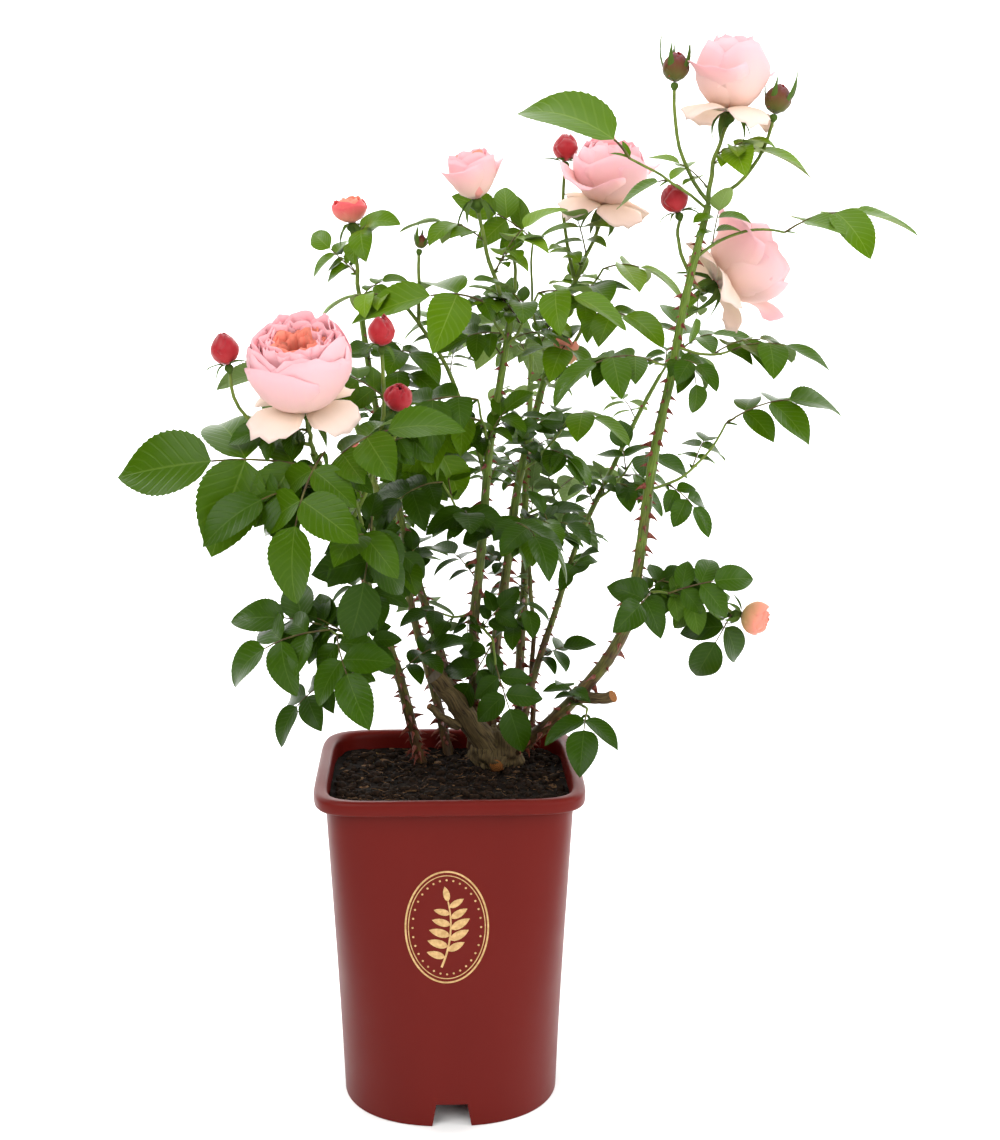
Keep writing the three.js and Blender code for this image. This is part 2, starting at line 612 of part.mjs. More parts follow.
// One compound leaf: a three-sided stalk with leaflets in pairs and one at its end.
function compoundLeaf(root, along, face, length, leaflets, seed) {
  const pairs = (leaflets - 1) / 2;
  const reach = length * (RACHIS.firstPair + RACHIS.pairSpacing * (pairs - 1) + RACHIS.lead);
  const end = root.clone().addScaledVector(along, reach);
  const stalk = new BowedCurve(root, end, face.clone().multiplyScalar(RACHIS.arch * reach), 60);
  const blades = [];
  for (let k = 0; k < pairs; k++) {
    const share = 1 - (RACHIS.lead + RACHIS.pairSpacing * k) * (length / reach);
    const joint = stalk.getPoint(share);
    const tangent = stalk.getTangent(share);
    const normal = bladeNormal(tangent, face);
    const side = normal.clone().cross(tangent);
    for (const hand of [-1, 1]) {
      const swing = radians(LEAFLET_SWING.least + LEAFLET_SWING.spread * chance(seed, 10 * k + hand));
      const droop = LEAFLET_DROOP.least + LEAFLET_DROOP.spread * chance(seed, 40 + 10 * k + hand);
      const out = tangent.clone().multiplyScalar(Math.cos(swing));
      out.addScaledVector(side, hand * Math.sin(swing)).addScaledVector(normal, -droop).normalize();
      const rooted = joint.clone().addScaledVector(side, 0.2 * hand);
      blades.push({ root: rooted, along: out, face, length: length * LEAF.pairSizes[k] });
    }
  }
  blades.push({ root: stalk.getPoint(1 - RACHIS.radius / reach), along: stalk.getTangent(1), face, length });
  return { stalk, blades };
}

// The direction of the leaf at one place round a stem, given in degrees.
function leafDirection(tangent, turn) {
  const right = new THREE.Vector3(1, 0, 0).addScaledVector(tangent, -tangent.x);
  if (right.lengthSq() < 0.1) right.set(0, 0, 1).addScaledVector(tangent, -tangent.z);
  right.normalize();
  const back = tangent.clone().cross(right);
  const lean = radians(LEAF_LEAN);
  return tangent
    .clone()
    .multiplyScalar(Math.cos(lean))
    .addScaledVector(right, Math.sin(lean) * Math.cos(radians(turn)))
    .addScaledVector(back, Math.sin(lean) * Math.sin(radians(turn)));
}

// ---------------------------------------------------------------- flowers
// A flower turned about its own axis: the hip, then the cup, whose radius follows a sine arch.
function flowerSolids({ kind, axis }, base) {
  const { radius, height, mouth, guards, guardReach, guardTilt } = FLOWERS[kind];
  const hip = THREE.MathUtils.clamp(radius * HIP.share, HIP.least, HIP.most);
  const start = 1.7 * hip;
  const arch = Math.PI - Math.asin(mouth);
  const large = radius > CUP.large;
  const rings = large ? CUP.fineRings : CUP.coarseRings;
  const points = [[0, -1], [1.5, -1], [hip, 0.6 * hip], [0.75 * hip, start]];
  for (let k = 1; k <= rings; k++) {
    const share = k / rings;
    const r = mouth === 0 && k === rings ? 0 : Math.max(0.8 * hip, radius * Math.sin(arch * share));
    points.push([r, start + (height - start) * share * (1.5 - 0.5 * share) ** 0.5]);
  }
  if (mouth > 0) {
    points.push([0.5 * mouth * radius, CUP.hollowFrom * height], [0, (CUP.hollowFrom - 0.02) * height]);
  }
  const profile = points.map(([r, y]) => new THREE.Vector2(r, y));
  const turned = new THREE.LatheGeometry(profile, large ? CUP.fineSides : CUP.coarseSides);
  const direction = unit(axis);
  const upright = new THREE.Vector3(0, 1, 0);
  const placing = new THREE.Matrix4()
    .makeRotationFromQuaternion(new THREE.Quaternion().setFromUnitVectors(upright, direction))
    .setPosition(base);
  const solids = [solidOf(turned.applyMatrix4(placing))];
  const right = new THREE.Vector3(1, 0, 0).addScaledVector(direction, -direction.x).normalize();
  const other = direction.clone().cross(right);
  for (let k = 0; k < guards; k++) {
    const round = (2 * Math.PI * (k + 0.3)) / guards;
    const radial = right.clone().multiplyScalar(Math.cos(round)).addScaledVector(other, Math.sin(round));
    const tilt = radians(guardTilt + 14 * Math.sin(2.4 * k + 1));
    const along = direction.clone().multiplyScalar(Math.cos(tilt)).addScaledVector(radial, Math.sin(tilt));
    const up = bladeNormal(along, direction);
    const root = base.clone().addScaledVector(direction, start + 2);
    solids.push(petalSolid(root, along, up, guardReach));
  }
  return solids;
}

// A guard petal: a broad shallow octahedron with its widest place well out.
function petalSolid(root, along, normal, length) {
  const side = normal.clone().cross(along);
  return solidOf(
    reshape(new THREE.OctahedronGeometry(1), ({ x, y, z }) => {
      const run = x > 0.5 ? length : x < -0.5 ? 0 : PETAL.widest * length;
      const across = y * PETAL.halfWidth * length;
      const rise = z * PETAL.halfThickness - (x > 0.5 ? PETAL.droop * length : 0);
      const point = root.clone().addScaledVector(along, run).addScaledVector(side, across);
      return point.addScaledVector(normal, rise);
    }),
  );
}

// ---------------------------------------------------------------- sprays
// Starts a spray: its stem, the side twigs of its buds, and its flowers, all of which have to fit.
function startSpray({ name, on, at = 1, to, bow = [0, 0, 0], flowers = [] }) {
  const carrier = placed.get(on);
  const stem = new BowedCurve(carrier.curve.getPoint(at), vector(to), vector(bow), STEM_CHORD);
  const twigSolid = (curve, radii) => limbSolid(curve, radii, 3).subtract(carrier.swollen());
  const pieces = [];
  const mustKeep = (what, solid, skipped) => {
    const neighbour = neighbourTouching(solid, skipped);
    if (neighbour) throw new Error(name + ": its " + what + " touches " + neighbour);
    pieces.push(solid);
  };
  mustKeep("stem", twigSolid(stem, STEM_RADII), [on]);
  for (const flower of flowers) {
    const base = flower.to ? vector(flower.to) : stem.to;
    if (flower.to) {
      const twig = new BowedCurve(stem.getPoint(flower.from), base, vector(flower.bow), STEM_CHORD);
      mustKeep(flower.kind + " twig", twigSolid(twig, TWIG_RADII), [on]);
    }
    if (flower.kind === "cut") continue;
    const [cup, ...guards] = flowerSolids(flower, base);
    mustKeep(flower.kind, cup, []);
    pieces.push(...guards.filter((guard) => !neighbourTouching(guard, [])));
  }
  placed.set(name, { stem, pieces });
}

// Sets a spray's leaves round its stem. A leaflet that would come within the gap of a neighbour is left
// off, and a leaf whose stalk would is left off whole.
function leafSpray({ name, leaves, leaflet, leaflets = 5, turn = 0, face, lead }, seed) {
  const { stem, pieces } = placed.get(name);
  const look = unit(FACING[face]);
  const keepIfClear = (solid) => !neighbourTouching(solid, [name]) && pieces.push(solid);
  const besides = Math.max(1, leaves - (lead ? 1 : 0));
  for (let k = 0; k < leaves; k++) {
    const leads = lead && k === leaves - 1;
    const share = leads ? 1 : THREE.MathUtils.lerp(...LEAF_RUN, (k + 0.5) / besides);
    const along = leads ? unit(lead) : leafDirection(stem.getTangent(share), turn + k * PHYLLOTAXY);
    const turned = look.clone();
    turned.x += LOOK_SPREAD[0] * (chance(seed, k) - 0.5);
    turned.y += LOOK_SPREAD[1] * (chance(seed, k + 20) - 0.5);
    const length = leaflet * (leads ? 1 : LEAF_SIZE.least + LEAF_SIZE.spread * chance(seed, k + 60));
    const leaf = compoundLeaf(stem.getPoint(share), along, turned.normalize(), length, leaflets, seed + k);
    if (!keepIfClear(limbSolid(leaf.stalk, [RACHIS.radius, 0.9 * RACHIS.radius], 3))) continue;
    for (const blade of leaf.blades) {
      keepIfClear(leafletSolid(blade.root, blade.along, bladeNormal(blade.along, blade.face), blade.length));
    }
  }
}

// Short sprays set round a back cane, each pointing outwards and a little up.
function backSprayRows() {
  const { reach, rise, turnStep, leafRise, leaflet, leaves, leaflets } = BACK_SPRAY;
  return BACK_SPRAYS.flatMap(({ on, shares, turn }) =>
    shares.map((at, k) => {
      const round = radians(turn + k * turnStep);
      const outwards = [Math.cos(round), Math.sin(round)];
      const to = placed.get(on).curve.getPoint(at).add(vector([...outwards, rise]).multiplyScalar(reach));
      return {
        name: on.replace("cane", "spray_") + (k + 1),
        on,
        at,
        to: to.toArray(),
        bow: [0, 0, -4],
        leaves,
        leaflet,
        leaflets,
        turn,
        face: "back",
        lead: [...outwards, leafRise],
      };
    }),
  );
}

// ---------------------------------------------------------------- the assembly
place("pot", potSolid());
place("soil", soilSolid());
place("graft_union", graftSolid(), { swollen: () => graftSolid(GAP) });
LIMBS.forEach(growLimb);
const sprays = [...SPRAYS, ...backSprayRows()];
sprays.forEach(startSpray);
sprays.forEach((row, k) => leafSpray(row, k + 1));

const root = new THREE.Group();
const plantAndPot = new THREE.Group();
plantAndPot.position.fromArray(POT_AXIS);
root.add(plantAndPot);
const limbNames = new Set(LIMBS.map(({ name }) => name));
for (const [name, { pieces }] of placed) {
  const grown = limbNames.has(name) ? MATERIALS.cane : MATERIALS.foliage;
  const material = MATERIALS[name] ?? (BARKED.has(name) ? MATERIALS.bark : grown);
  plantAndPot.add(meshOf(name, wasm.Manifold.union(pieces), material));
}

export default root;
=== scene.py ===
"""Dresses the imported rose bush: pot, potting mix, old wood, canes, leaves, buds and blooms.

Plant sizes are in millimetres from the pot's own axis at ground level. Each finished mesh is moved to the
frame, whose origin is under the middle of the whole plant, and scaled to metres. The limbs and sprays are
those of the solids, and every leaf grows by the same seeded rule, carried on to finer twigs and leaves.
"""

import logging
import math
from dataclasses import dataclass, field
from enum import Enum
from itertools import combinations

import bpy
import numpy as np
from bpy.types import Material, Node, NodeSocket, NodeTree, Object
from mathutils import Euler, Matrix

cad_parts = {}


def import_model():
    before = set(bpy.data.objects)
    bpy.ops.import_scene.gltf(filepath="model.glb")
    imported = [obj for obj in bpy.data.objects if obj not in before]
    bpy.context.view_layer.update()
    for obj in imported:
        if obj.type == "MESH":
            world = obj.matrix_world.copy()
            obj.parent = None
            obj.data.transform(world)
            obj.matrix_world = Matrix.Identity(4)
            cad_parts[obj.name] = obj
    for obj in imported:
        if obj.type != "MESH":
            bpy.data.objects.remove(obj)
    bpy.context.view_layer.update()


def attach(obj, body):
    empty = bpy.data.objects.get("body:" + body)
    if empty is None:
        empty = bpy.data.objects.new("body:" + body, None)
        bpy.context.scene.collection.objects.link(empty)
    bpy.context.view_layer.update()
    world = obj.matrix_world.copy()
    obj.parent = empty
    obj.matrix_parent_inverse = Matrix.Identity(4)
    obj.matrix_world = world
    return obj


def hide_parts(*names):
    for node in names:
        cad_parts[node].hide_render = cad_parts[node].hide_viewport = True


log = logging.getLogger("rose")
Array = np.ndarray
Pair = tuple[float, float]
Triple = tuple[float, float, float]

AXIS = np.array([-54.3, -61.0, 0.0])  # where the pot's axis stands in the frame, mm
MM = 0.001  # a millimetre in metres
PER_METRE = 1000  # millimetres in a metre
CIRCLE = 6.28  # radians of phase or turn that one draw of chance spans
SHADED_SMOOTH = 75  # greatest angle between faces that are shaded as one surface, degrees
LEAF_STEP = 144  # degrees round a stem from one leaf to the next
SHARE, LOW, HIGH, MIXED = 0, 6, 7, 2  # a colour mix node's share, two colours and result


# ---- small helpers
def linear(colour: str) -> tuple[float, float, float, float]:
    """Turns an sRGB hex colour into linear light.

    Args:
        colour: Six hex digits, such as "78271c".

    Returns:
        Red, green and blue in linear light, and an alpha of 1.
    """
    shares = [int(colour[k : k + 2], 16) / 255 for k in (0, 2, 4)]
    light = [c / 12.92 if c <= 0.04045 else ((c + 0.055) / 1.055) ** 2.4 for c in shares]
    return (*light, 1.0)


def add_node(tree: NodeTree, kind: str, feeds: dict | None = None, out: int | str = 0,
             into: NodeSocket | None = None, **settings: object) -> NodeSocket:
    """Adds one node to a material, with its settings and links.

    Args:
        tree: The material's node tree.
        kind: Blender's name of the node type, after the word ShaderNode.
        feeds: Input name or number to a value, or to the socket that feeds it.
        out: Name or number of the output wanted.
        into: The input that this output feeds, if it feeds one straight away.
        settings: The node's own properties.

    Returns:
        The output wanted.
    """
    node = tree.nodes.new("ShaderNode" + kind)
    for name, value in settings.items():
        setattr(node, name, value)
    for key, value in (feeds or {}).items():
        if isinstance(value, NodeSocket):
            tree.links.new(value, node.inputs[key])
        else:
            node.inputs[key].default_value = value
    if into:
        tree.links.new(node.outputs[out], into)
    return node.outputs[out]


def vector(values: tuple[float, ...]) -> Array:
    """A row of numbers as an array."""
    return np.array(values, float)


def unit(vectors: Array) -> Array:
    """Vectors divided by their own lengths, over the last axis."""
    return vectors / np.linalg.norm(vectors, axis=-1, keepdims=True)


def square_to(vectors: Array, axes: Array) -> Array:
    """Each vector with its part along its axis taken off, as a unit vector."""
    return unit(vectors - (vectors * axes).sum(-1, keepdims=True) * axes)


def chance(seed: float | Array, draw: float | Array) -> float | Array:
    """A number from 0 to 1 that depends only on the two seeds: the plant's repeatable chance."""
    wave = np.sin(seed * 127.1 + draw * 311.7) * 43758.5453
    return wave - np.floor(wave)


def relief(points: Array, size: float, seed: float, octaves: int = 3) -> Array:
    """A rough surface: sums of crossed sine waves, each octave half as long and half as strong.

    Args:
        points: Places, with coordinates on the last axis, mm.
        size: Length of the longest wave, mm.
        seed: Picks the waves' directions.
        octaves: How many times the waves are halved.

    Returns:
        A height of about -1 to 1 for each place.
    """
    height = np.zeros(points.shape[:-1])
    for octave in range(octaves):
        # Three crossed waves, each with a direction and a phase.
        draws = chance(seed + octave, np.arange(12.0)).reshape(3, 4)
        directions = unit(draws[:, :3] - 0.5) * (2 * np.pi / size * 2**octave)
        waves = np.sin(points @ directions.T + draws[:, 3] * CIRCLE)
        height += waves.prod(-1) / 2**octave
    return height


# ---- surfaces
@dataclass
class Surface:
    """A mesh in the making.

    Attributes:
        points: Vertex places, mm from the pot's axis.
        faces: Groups of faces with equal corner counts, each (faces, corners) of vertex numbers.
        uv: For each group, (faces, corners, 2).
        slots: For each group, the finish number of every face.
    """

    points: Array
    faces: list[Array]
    uv: list[Array]
    slots: list[Array]

    @classmethod
    def joined(cls, parts: list["Surface"]) -> "Surface":
        """Several surfaces as one, their vertices numbered on from each other.

        Args:
            parts: The surfaces to join.

        Returns:
            One surface with all their faces.
        """
        starts = np.cumsum([0] + [len(p.points) for p in parts[:-1]])
        faces = [f + start for p, start in zip(parts, starts) for f in p.faces]
        uv = [u for p in parts for u in p.uv]
        slots = [s for p in parts for s in p.slots]
        return cls(np.concatenate([p.points for p in parts]), faces, uv, slots)

    def triangles(self) -> int:
        """How many triangles the faces make."""
        return sum(len(f) * (f.shape[1] - 2) for f in self.faces)


def make_piece(name: str, surface: Surface, finishes: list["Finish"],
               nodes: list[str]) -> Object:
    """Puts a surface into a Blender mesh in the frame, smooth shaded, riding on the plant's one body.

    Args:
        name: The piece's name.
        surface: Its points, faces, UV and finish numbers.
        finishes: The finishes that the finish numbers pick from.
        nodes: The solids that the piece stands for.

    Returns:
        The new object.
    """
    mesh = bpy.data.meshes.new(name)
    corners = np.concatenate([f.ravel() for f in surface.faces])
    counts = np.concatenate([np.full(len(f), f.shape[1]) for f in surface.faces])
    mesh.vertices.add(len(surface.points))
    mesh.vertices.foreach_set("co", ((surface.points + AXIS) * MM).astype(np.float32).ravel())
    mesh.loops.add(len(corners))
    mesh.loops.foreach_set("vertex_index", corners.astype(np.int32))
    mesh.polygons.add(len(counts))
    mesh.polygons.foreach_set("loop_start", (np.cumsum(counts) - counts).astype(np.int32))
    for finish in finishes:
        mesh.materials.append(finish.material())
    mesh.polygons.foreach_set("material_index", np.concatenate(surface.slots).astype(np.int32))
    mesh.polygons.foreach_set("use_smooth", np.ones(len(counts), dtype=bool))
    layer = mesh.uv_layers.new(name="UVMap")
    flat = np.concatenate([u.reshape(-1, 2) for u in surface.uv])
    layer.data.foreach_set("uv", flat.astype(np.float32).ravel())
    mesh.update(calc_edges=True)
    piece = bpy.data.objects.new(name, mesh)
    bpy.context.scene.collection.objects.link(piece)
    mesh.set_sharp_from_angle(angle=math.radians(SHADED_SMOOTH))
    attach(piece, "root")
    if nodes:
        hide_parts(*nodes)
    log.info("%s: %d triangles", name, surface.triangles())
    return piece


@dataclass(frozen=True)
class Sweep:
    """A smooth line from one point to another, bowed sideways most at its middle.

    A point at share t is start + (end - start) t + bow 4 t (1 - t), plus a slow wander that dies out at both
    ends.
    """

    start: Array
    end: Array
    bow: Array
    wander: float = 0.0
    seed: float = 0.0

    def at(self, shares: float | Array) -> Array:
        """The points at some shares of the line's length.

        Args:
            shares: From 0 at its start to 1 at its end.

        Returns:
            Places, mm, with coordinates on the last axis.
        """
        t = np.asarray(shares, float)[..., None]
        line = self.start + (self.end - self.start) * t + self.bow * 4 * t * (1 - t)
        turns = 2 * np.pi * np.array([2.3, 2.9, 0.0]) * t + self.seed * np.array([1.7, 2.6, 0.0])
        return line + self.wander * np.sin(np.pi * t) * np.sin(turns)

    def heading(self, shares: float | Array) -> Array:
        """The unit direction of the line at some shares of its length."""
        t = np.asarray(shares, float)
        return unit(self.at(np.minimum(t + 0.01, 1.0)) - self.at(np.maximum(t - 0.01, 0.0)))

    def length(self) -> float:
        """The straight distance between the two ends, mm."""
        return float(np.linalg.norm(self.end - self.start))


def tubes(paths: Array, radii: Array, sides: int, slot: int = 0, cap: int | None = None,
          across: Array | None = None) -> Surface:
    """Closed tubes swept along paths, all with the same number of stations.

    Each ring is middle + radius (cos a across + sin a other), where across and other are square to the path
    and a runs once round. Both ends are closed by a flat face.

    Args:
        paths: (tubes, stations, 3) middles of the rings, mm.
        radii: (tubes, stations) or (tubes, stations, sides), mm.
        sides: Corners of a ring.
        slot: Finish number of the walls.
        cap: Finish number of the far end's face, or the wall's if none is given.
        across: (tubes, 3) a direction that each tube's rings start from.

    Returns:
        All the tubes as one surface, with UV in millimetres round and along.
    """
    tube_count, stations, _ = paths.shape
    heading = unit(np.gradient(paths, axis=1))
    if across is None:
        level = np.abs(heading.mean(1)[:, 0:1]) > 0.7
        across = np.where(level, [[0.0, 0.0, 1.0]], [[1.0, 0.0, 0.0]])
    first = square_to(np.broadcast_to(across[:, None], paths.shape), heading)
    second = np.cross(heading, first)
    angles = 2 * np.pi * np.arange(sides) / sides
    rings = np.cos(angles)[:, None] * first[:, :, None] + np.sin(angles)[:, None] * second[:, :, None]
    spread = radii[..., None, None] if radii.ndim == 2 else radii[..., None]
    points = (paths[:, :, None] + spread * rings).reshape(-1, 3)

    tube, ring, side = np.indices((tube_count, stations - 1, sides))
    start = (tube * stations + ring) * sides
    after = (side + 1) % sides
    beyond = start + sides
    walls = np.stack([start + side, start + after, beyond + after, beyond + side], -1).reshape(-1, 4)
    steps = np.linalg.norm(np.diff(paths, axis=1), axis=-1).cumsum(1)
    run = np.concatenate([np.zeros((tube_count, 1)), steps], 1)
    girth = 2 * np.pi * radii.reshape(tube_count, -1).mean(-1) / sides
    low, high = run[tube, ring], run[tube, ring + 1]
    left, right = girth[tube] * side, girth[tube] * (side + 1)
    wall_uv = np.stack([left, low, right, low, right, high, left, high], -1).reshape(-1, 4, 2)

    ends = np.arange(tube_count)[:, None] * stations * sides + np.arange(sides)
    disc = np.stack([np.cos(angles), np.sin(angles)], -1) * 0.5 + 0.5
    cap_uv = np.broadcast_to(disc, (tube_count, sides, 2))
    far = slot if cap is None else cap
    return Surface(
        points,
        [walls, ends[:, ::-1], ends + (stations - 1) * sides],
        [wall_uv, cap_uv[:, ::-1], cap_uv],
        [np.full(len(walls), slot), np.full(tube_count, slot), np.full(tube_count, far)],
    )


def turned(rings: Array) -> Surface:
    """A closed form from rings of points, each joined to the next, with its two end rings closed flat.

    Args:
        rings: (rings, around, 3) points, mm, running anticlockwise seen from the last ring's side.

    Returns:
        The surface, with UV in millimetres round and along.
    """
    count, around, _ = rings.shape
    ring, side = np.indices((count - 1, around))
    after = (side + 1) % around
    low, high = ring * around, (ring + 1) * around
    walls = np.stack([low + side, low + after, high + after, high + side], -1).reshape(-1, 4)
    gaps = np.linalg.norm(np.diff(rings, axis=0), axis=-1).mean(1)
    run = np.concatenate([[0.0], gaps.cumsum()])
    pitch = np.linalg.norm(np.diff(rings, axis=1), axis=-1).max(0).mean()
    uv = [side * pitch, run[ring], (side + 1) * pitch, run[ring]]
    uv += [(side + 1) * pitch, run[ring + 1], side * pitch, run[ring + 1]]
    foot, top = np.arange(around)[None, ::-1], np.arange(around)[None] + (count - 1) * around
    flat = rings.reshape(-1, 3)[:, :2]
    return Surface(
        rings.reshape(-1, 3),
        [walls, foot, top],
        [np.stack(uv, -1).reshape(-1, 4, 2), flat[foot], flat[top]],
        [np.zeros(len(walls), int), np.zeros(1, int), np.zeros(1, int)],
    )


INNER_LINE = 0.55  # share of a blade's half width where its two middle strips end
TOOTH_TIP = 0.8  # share of a tooth's run at which its tip stands
TOOTH_REACH = 1.05  # share of the half width at which its tip stands


@dataclass(frozen=True)
class BladeShape:
    """A thin closed blade of a few dozen faces, drawn in its own outline: a leaflet, a sepal or a stipule.

    Across a blade at share s of its length the half width is length x half_width x s^p (1 - s)^q, scaled to
    1 at its widest. Its edge steps in and out as forward-pointing teeth.

    Attributes:
        steps: Stretches along the midrib.
        teeth: Teeth on each side of a stretch.
        half_width: Greatest half width as a share of the length.
        powers: The outline's powers towards base and tip.
        fold: Rise of the edges above the midrib as a share of the half width.
        thickness: At the middle, mm.
        wave: Height of the edge's waves as a share of the length.
    """

    steps: int
    teeth: int
    half_width: float
    powers: Pair
    fold: float
    thickness: float
    wave: float

    def outline(self, s: Array) -> Array:
        """Half width of the blade along its midrib.

        Args:
            s: Shares of its length.

        Returns:
            Half widths as shares of the greatest.
        """
        p, q = self.powers
        peak = p / (p + q)
        return s**p * (1 - s) ** q / (peak**p * (1 - peak) ** q)

    def margin(self, a: float, b: float) -> list[list[Pair]]:
        """The faces between the blade's inner line and its toothed edge, over one stretch.

        Args:
            a: Share of the length where the stretch starts.
            b: Share where it ends.

        Returns:
            For each face, its corners as (share along, share across).
        """
        near_a, near_b = (a, INNER_LINE), (b, INNER_LINE)
        if not self.teeth:
            return [[near_a, near_b, (b, 1.0), (a, 1.0)]]
        rings = []
        for tooth in range(self.teeth):
            start, tip, end = (a + (b - a) * (tooth + k) / self.teeth for k in (0.0, TOOTH_TIP, 1.0))
            near = near_a if 2 * tooth < self.teeth else near_b
            if 2 * tooth == self.teeth:
                rings.append([near_a, near_b, (start, 1.0)])
            point = (tip, TOOTH_REACH)
            rings += [[near, point, (start, 1.0)], [near, (end, 1.0), point]]
        return rings

    def template(self) -> tuple[Array, dict[int, Array], dict[int, Array]]:
        """The blade's corners and faces before it is laid anywhere.

        Returns:
            (corners, 3) of share along, share across and layer; then, by corner count, the faces' vertex
            numbers and whether each looks down (1) or up (0).
        """
        numbers: dict[tuple[float, float, int], int] = {}
        faces: dict[int, list[list[int]]] = {}
        under: dict[int, list[int]] = {}

        def corner(s: float, t: float, layer: int) -> int:
            """The number of a corner, which base, tip and edge share between the two layers.

            Args:
                s: Share along.
                t: Share across.
                layer: 1 for the upper side, -1 for the lower.

            Returns:
                Its vertex number.
            """
            ends = s < 1e-6 or s > 1 - 1e-6
            key = (round(s, 5), 0.0, 0) if ends else (round(s, 5), round(t, 3), 0 if abs(t) > 0.9 else layer)
            return numbers.setdefault(key, len(numbers))

        for layer in (1, -1):
            for hand in (1, -1):
                for step in range(self.steps):
                    a, b = step / self.steps, (step + 1) / self.steps
                    strip = [(a, 0.0), (b, 0.0), (b, INNER_LINE), (a, INNER_LINE)]
                    for ring in (strip, *self.margin(a, b)):
                        ids = [corner(s, t * hand, layer) for s, t in ring]
                        ids = [n for k, n in enumerate(ids) if n != ids[k - 1]]
                        if len(ids) > 2 and any(list(numbers)[n][2] for n in ids):
                            faces.setdefault(len(ids), []).append(ids if layer * hand > 0 else ids[::-1])
                            under.setdefault(len(ids), []).append(0 if layer > 0 else 1)
        return (
            np.array(list(numbers)),
            {count: np.array(rows) for count, rows in faces.items()},
            {count: np.array(rows) for count, rows in under.items()},
        )

    def lay(self, blades: "BladeList") -> Surface:
        """Lays one blade for every row.

        The midrib is a circular arc that bends away from the blade's upper side, and the width turns slowly
        about it: a corner is root + length (sin(bend s) / bend along - (1 - cos(bend s)) / bend normal), then
        across by the outline, then up by the fold, the wave and half the thickness.

        Args:
            blades: Where the blades start, point and look, and how long they are.

        Returns:
            One surface; the finish number of a face is its blade's own, plus 1 on the underside.
        """
        corners, faces, under = self.template()
        s, t, layer = corners.T
        root, along, normal, sizes, bend, twist, width, slot, seed = (
            np.array(column)[:, None] for column in zip(*blades.rows))
        length = sizes[..., None]
        normal = square_to(normal, along)
        side = np.cross(normal, along)
        bend = bend[..., None] + 1e-4
        angle = bend * s[:, None]
        ahead = np.cos(angle) * along - np.sin(angle) * normal
        up = np.cos(angle) * normal + np.sin(angle) * along
        turn = twist[..., None] * s[:, None]
        wide = np.cos(turn) * side + np.sin(turn) * up
        up = np.cross(ahead, wide)
        arc = np.sin(angle) * along - (1 - np.cos(angle)) * normal
        middle = root + length / bend * arc
        across = t * self.half_width * self.outline(s) * width * sizes
        wave = self.wave * sizes * t**2 * np.sin(7.5 * s + seed * CIRCLE + 1.3 * np.sign(t))
        body = 0.5 * self.thickness * layer * np.sqrt(np.clip(self.outline(s), 0, 1))
        rise = self.fold * np.abs(across) + wave + body
        points = middle + across[..., None] * wide + rise[..., None] * up
        count, size = points.shape[:2]
        offsets = (np.arange(count) * size)[:, None, None]
        shared = np.stack([t, s], -1)
        return Surface(
            points.reshape(-1, 3),
            [(faces[c][None] + offsets).reshape(-1, c) for c in faces],
            [np.broadcast_to(shared[f], (count, *f.shape, 2)).reshape(-1, c, 2) for c, f in faces.items()],
            [(slot + under[c][None]).ravel() for c in faces],
        )


@dataclass
class BladeList:
    """Blades of one shape, gathered one by one while the plant grows, a row for each."""

    rows: list[tuple] = field(default_factory=list)

    def add(self, root: Array, along: Array, normal: Array, length: float, bend: float = 0.4,
            twist: float = 0.0, width: float = 1.0, slot: int = 0) -> None:
        """Adds one blade.

        Args:
            root: Where it starts, mm.
            along: Unit direction of its midrib there.
            normal: The way its upper side looks.
            length: Of the blade, mm.
            bend: Angle that its midrib turns through, away from its upper side, radians.
            twist: Angle that its width turns through, radians.
            width: Its width as a share of its shape's usual one.
            slot: Finish number of its upper side.
        """
        seed = float(chance(length, root[2]))
        self.rows.append((root, along, normal, length, bend, twist, width, slot, seed))


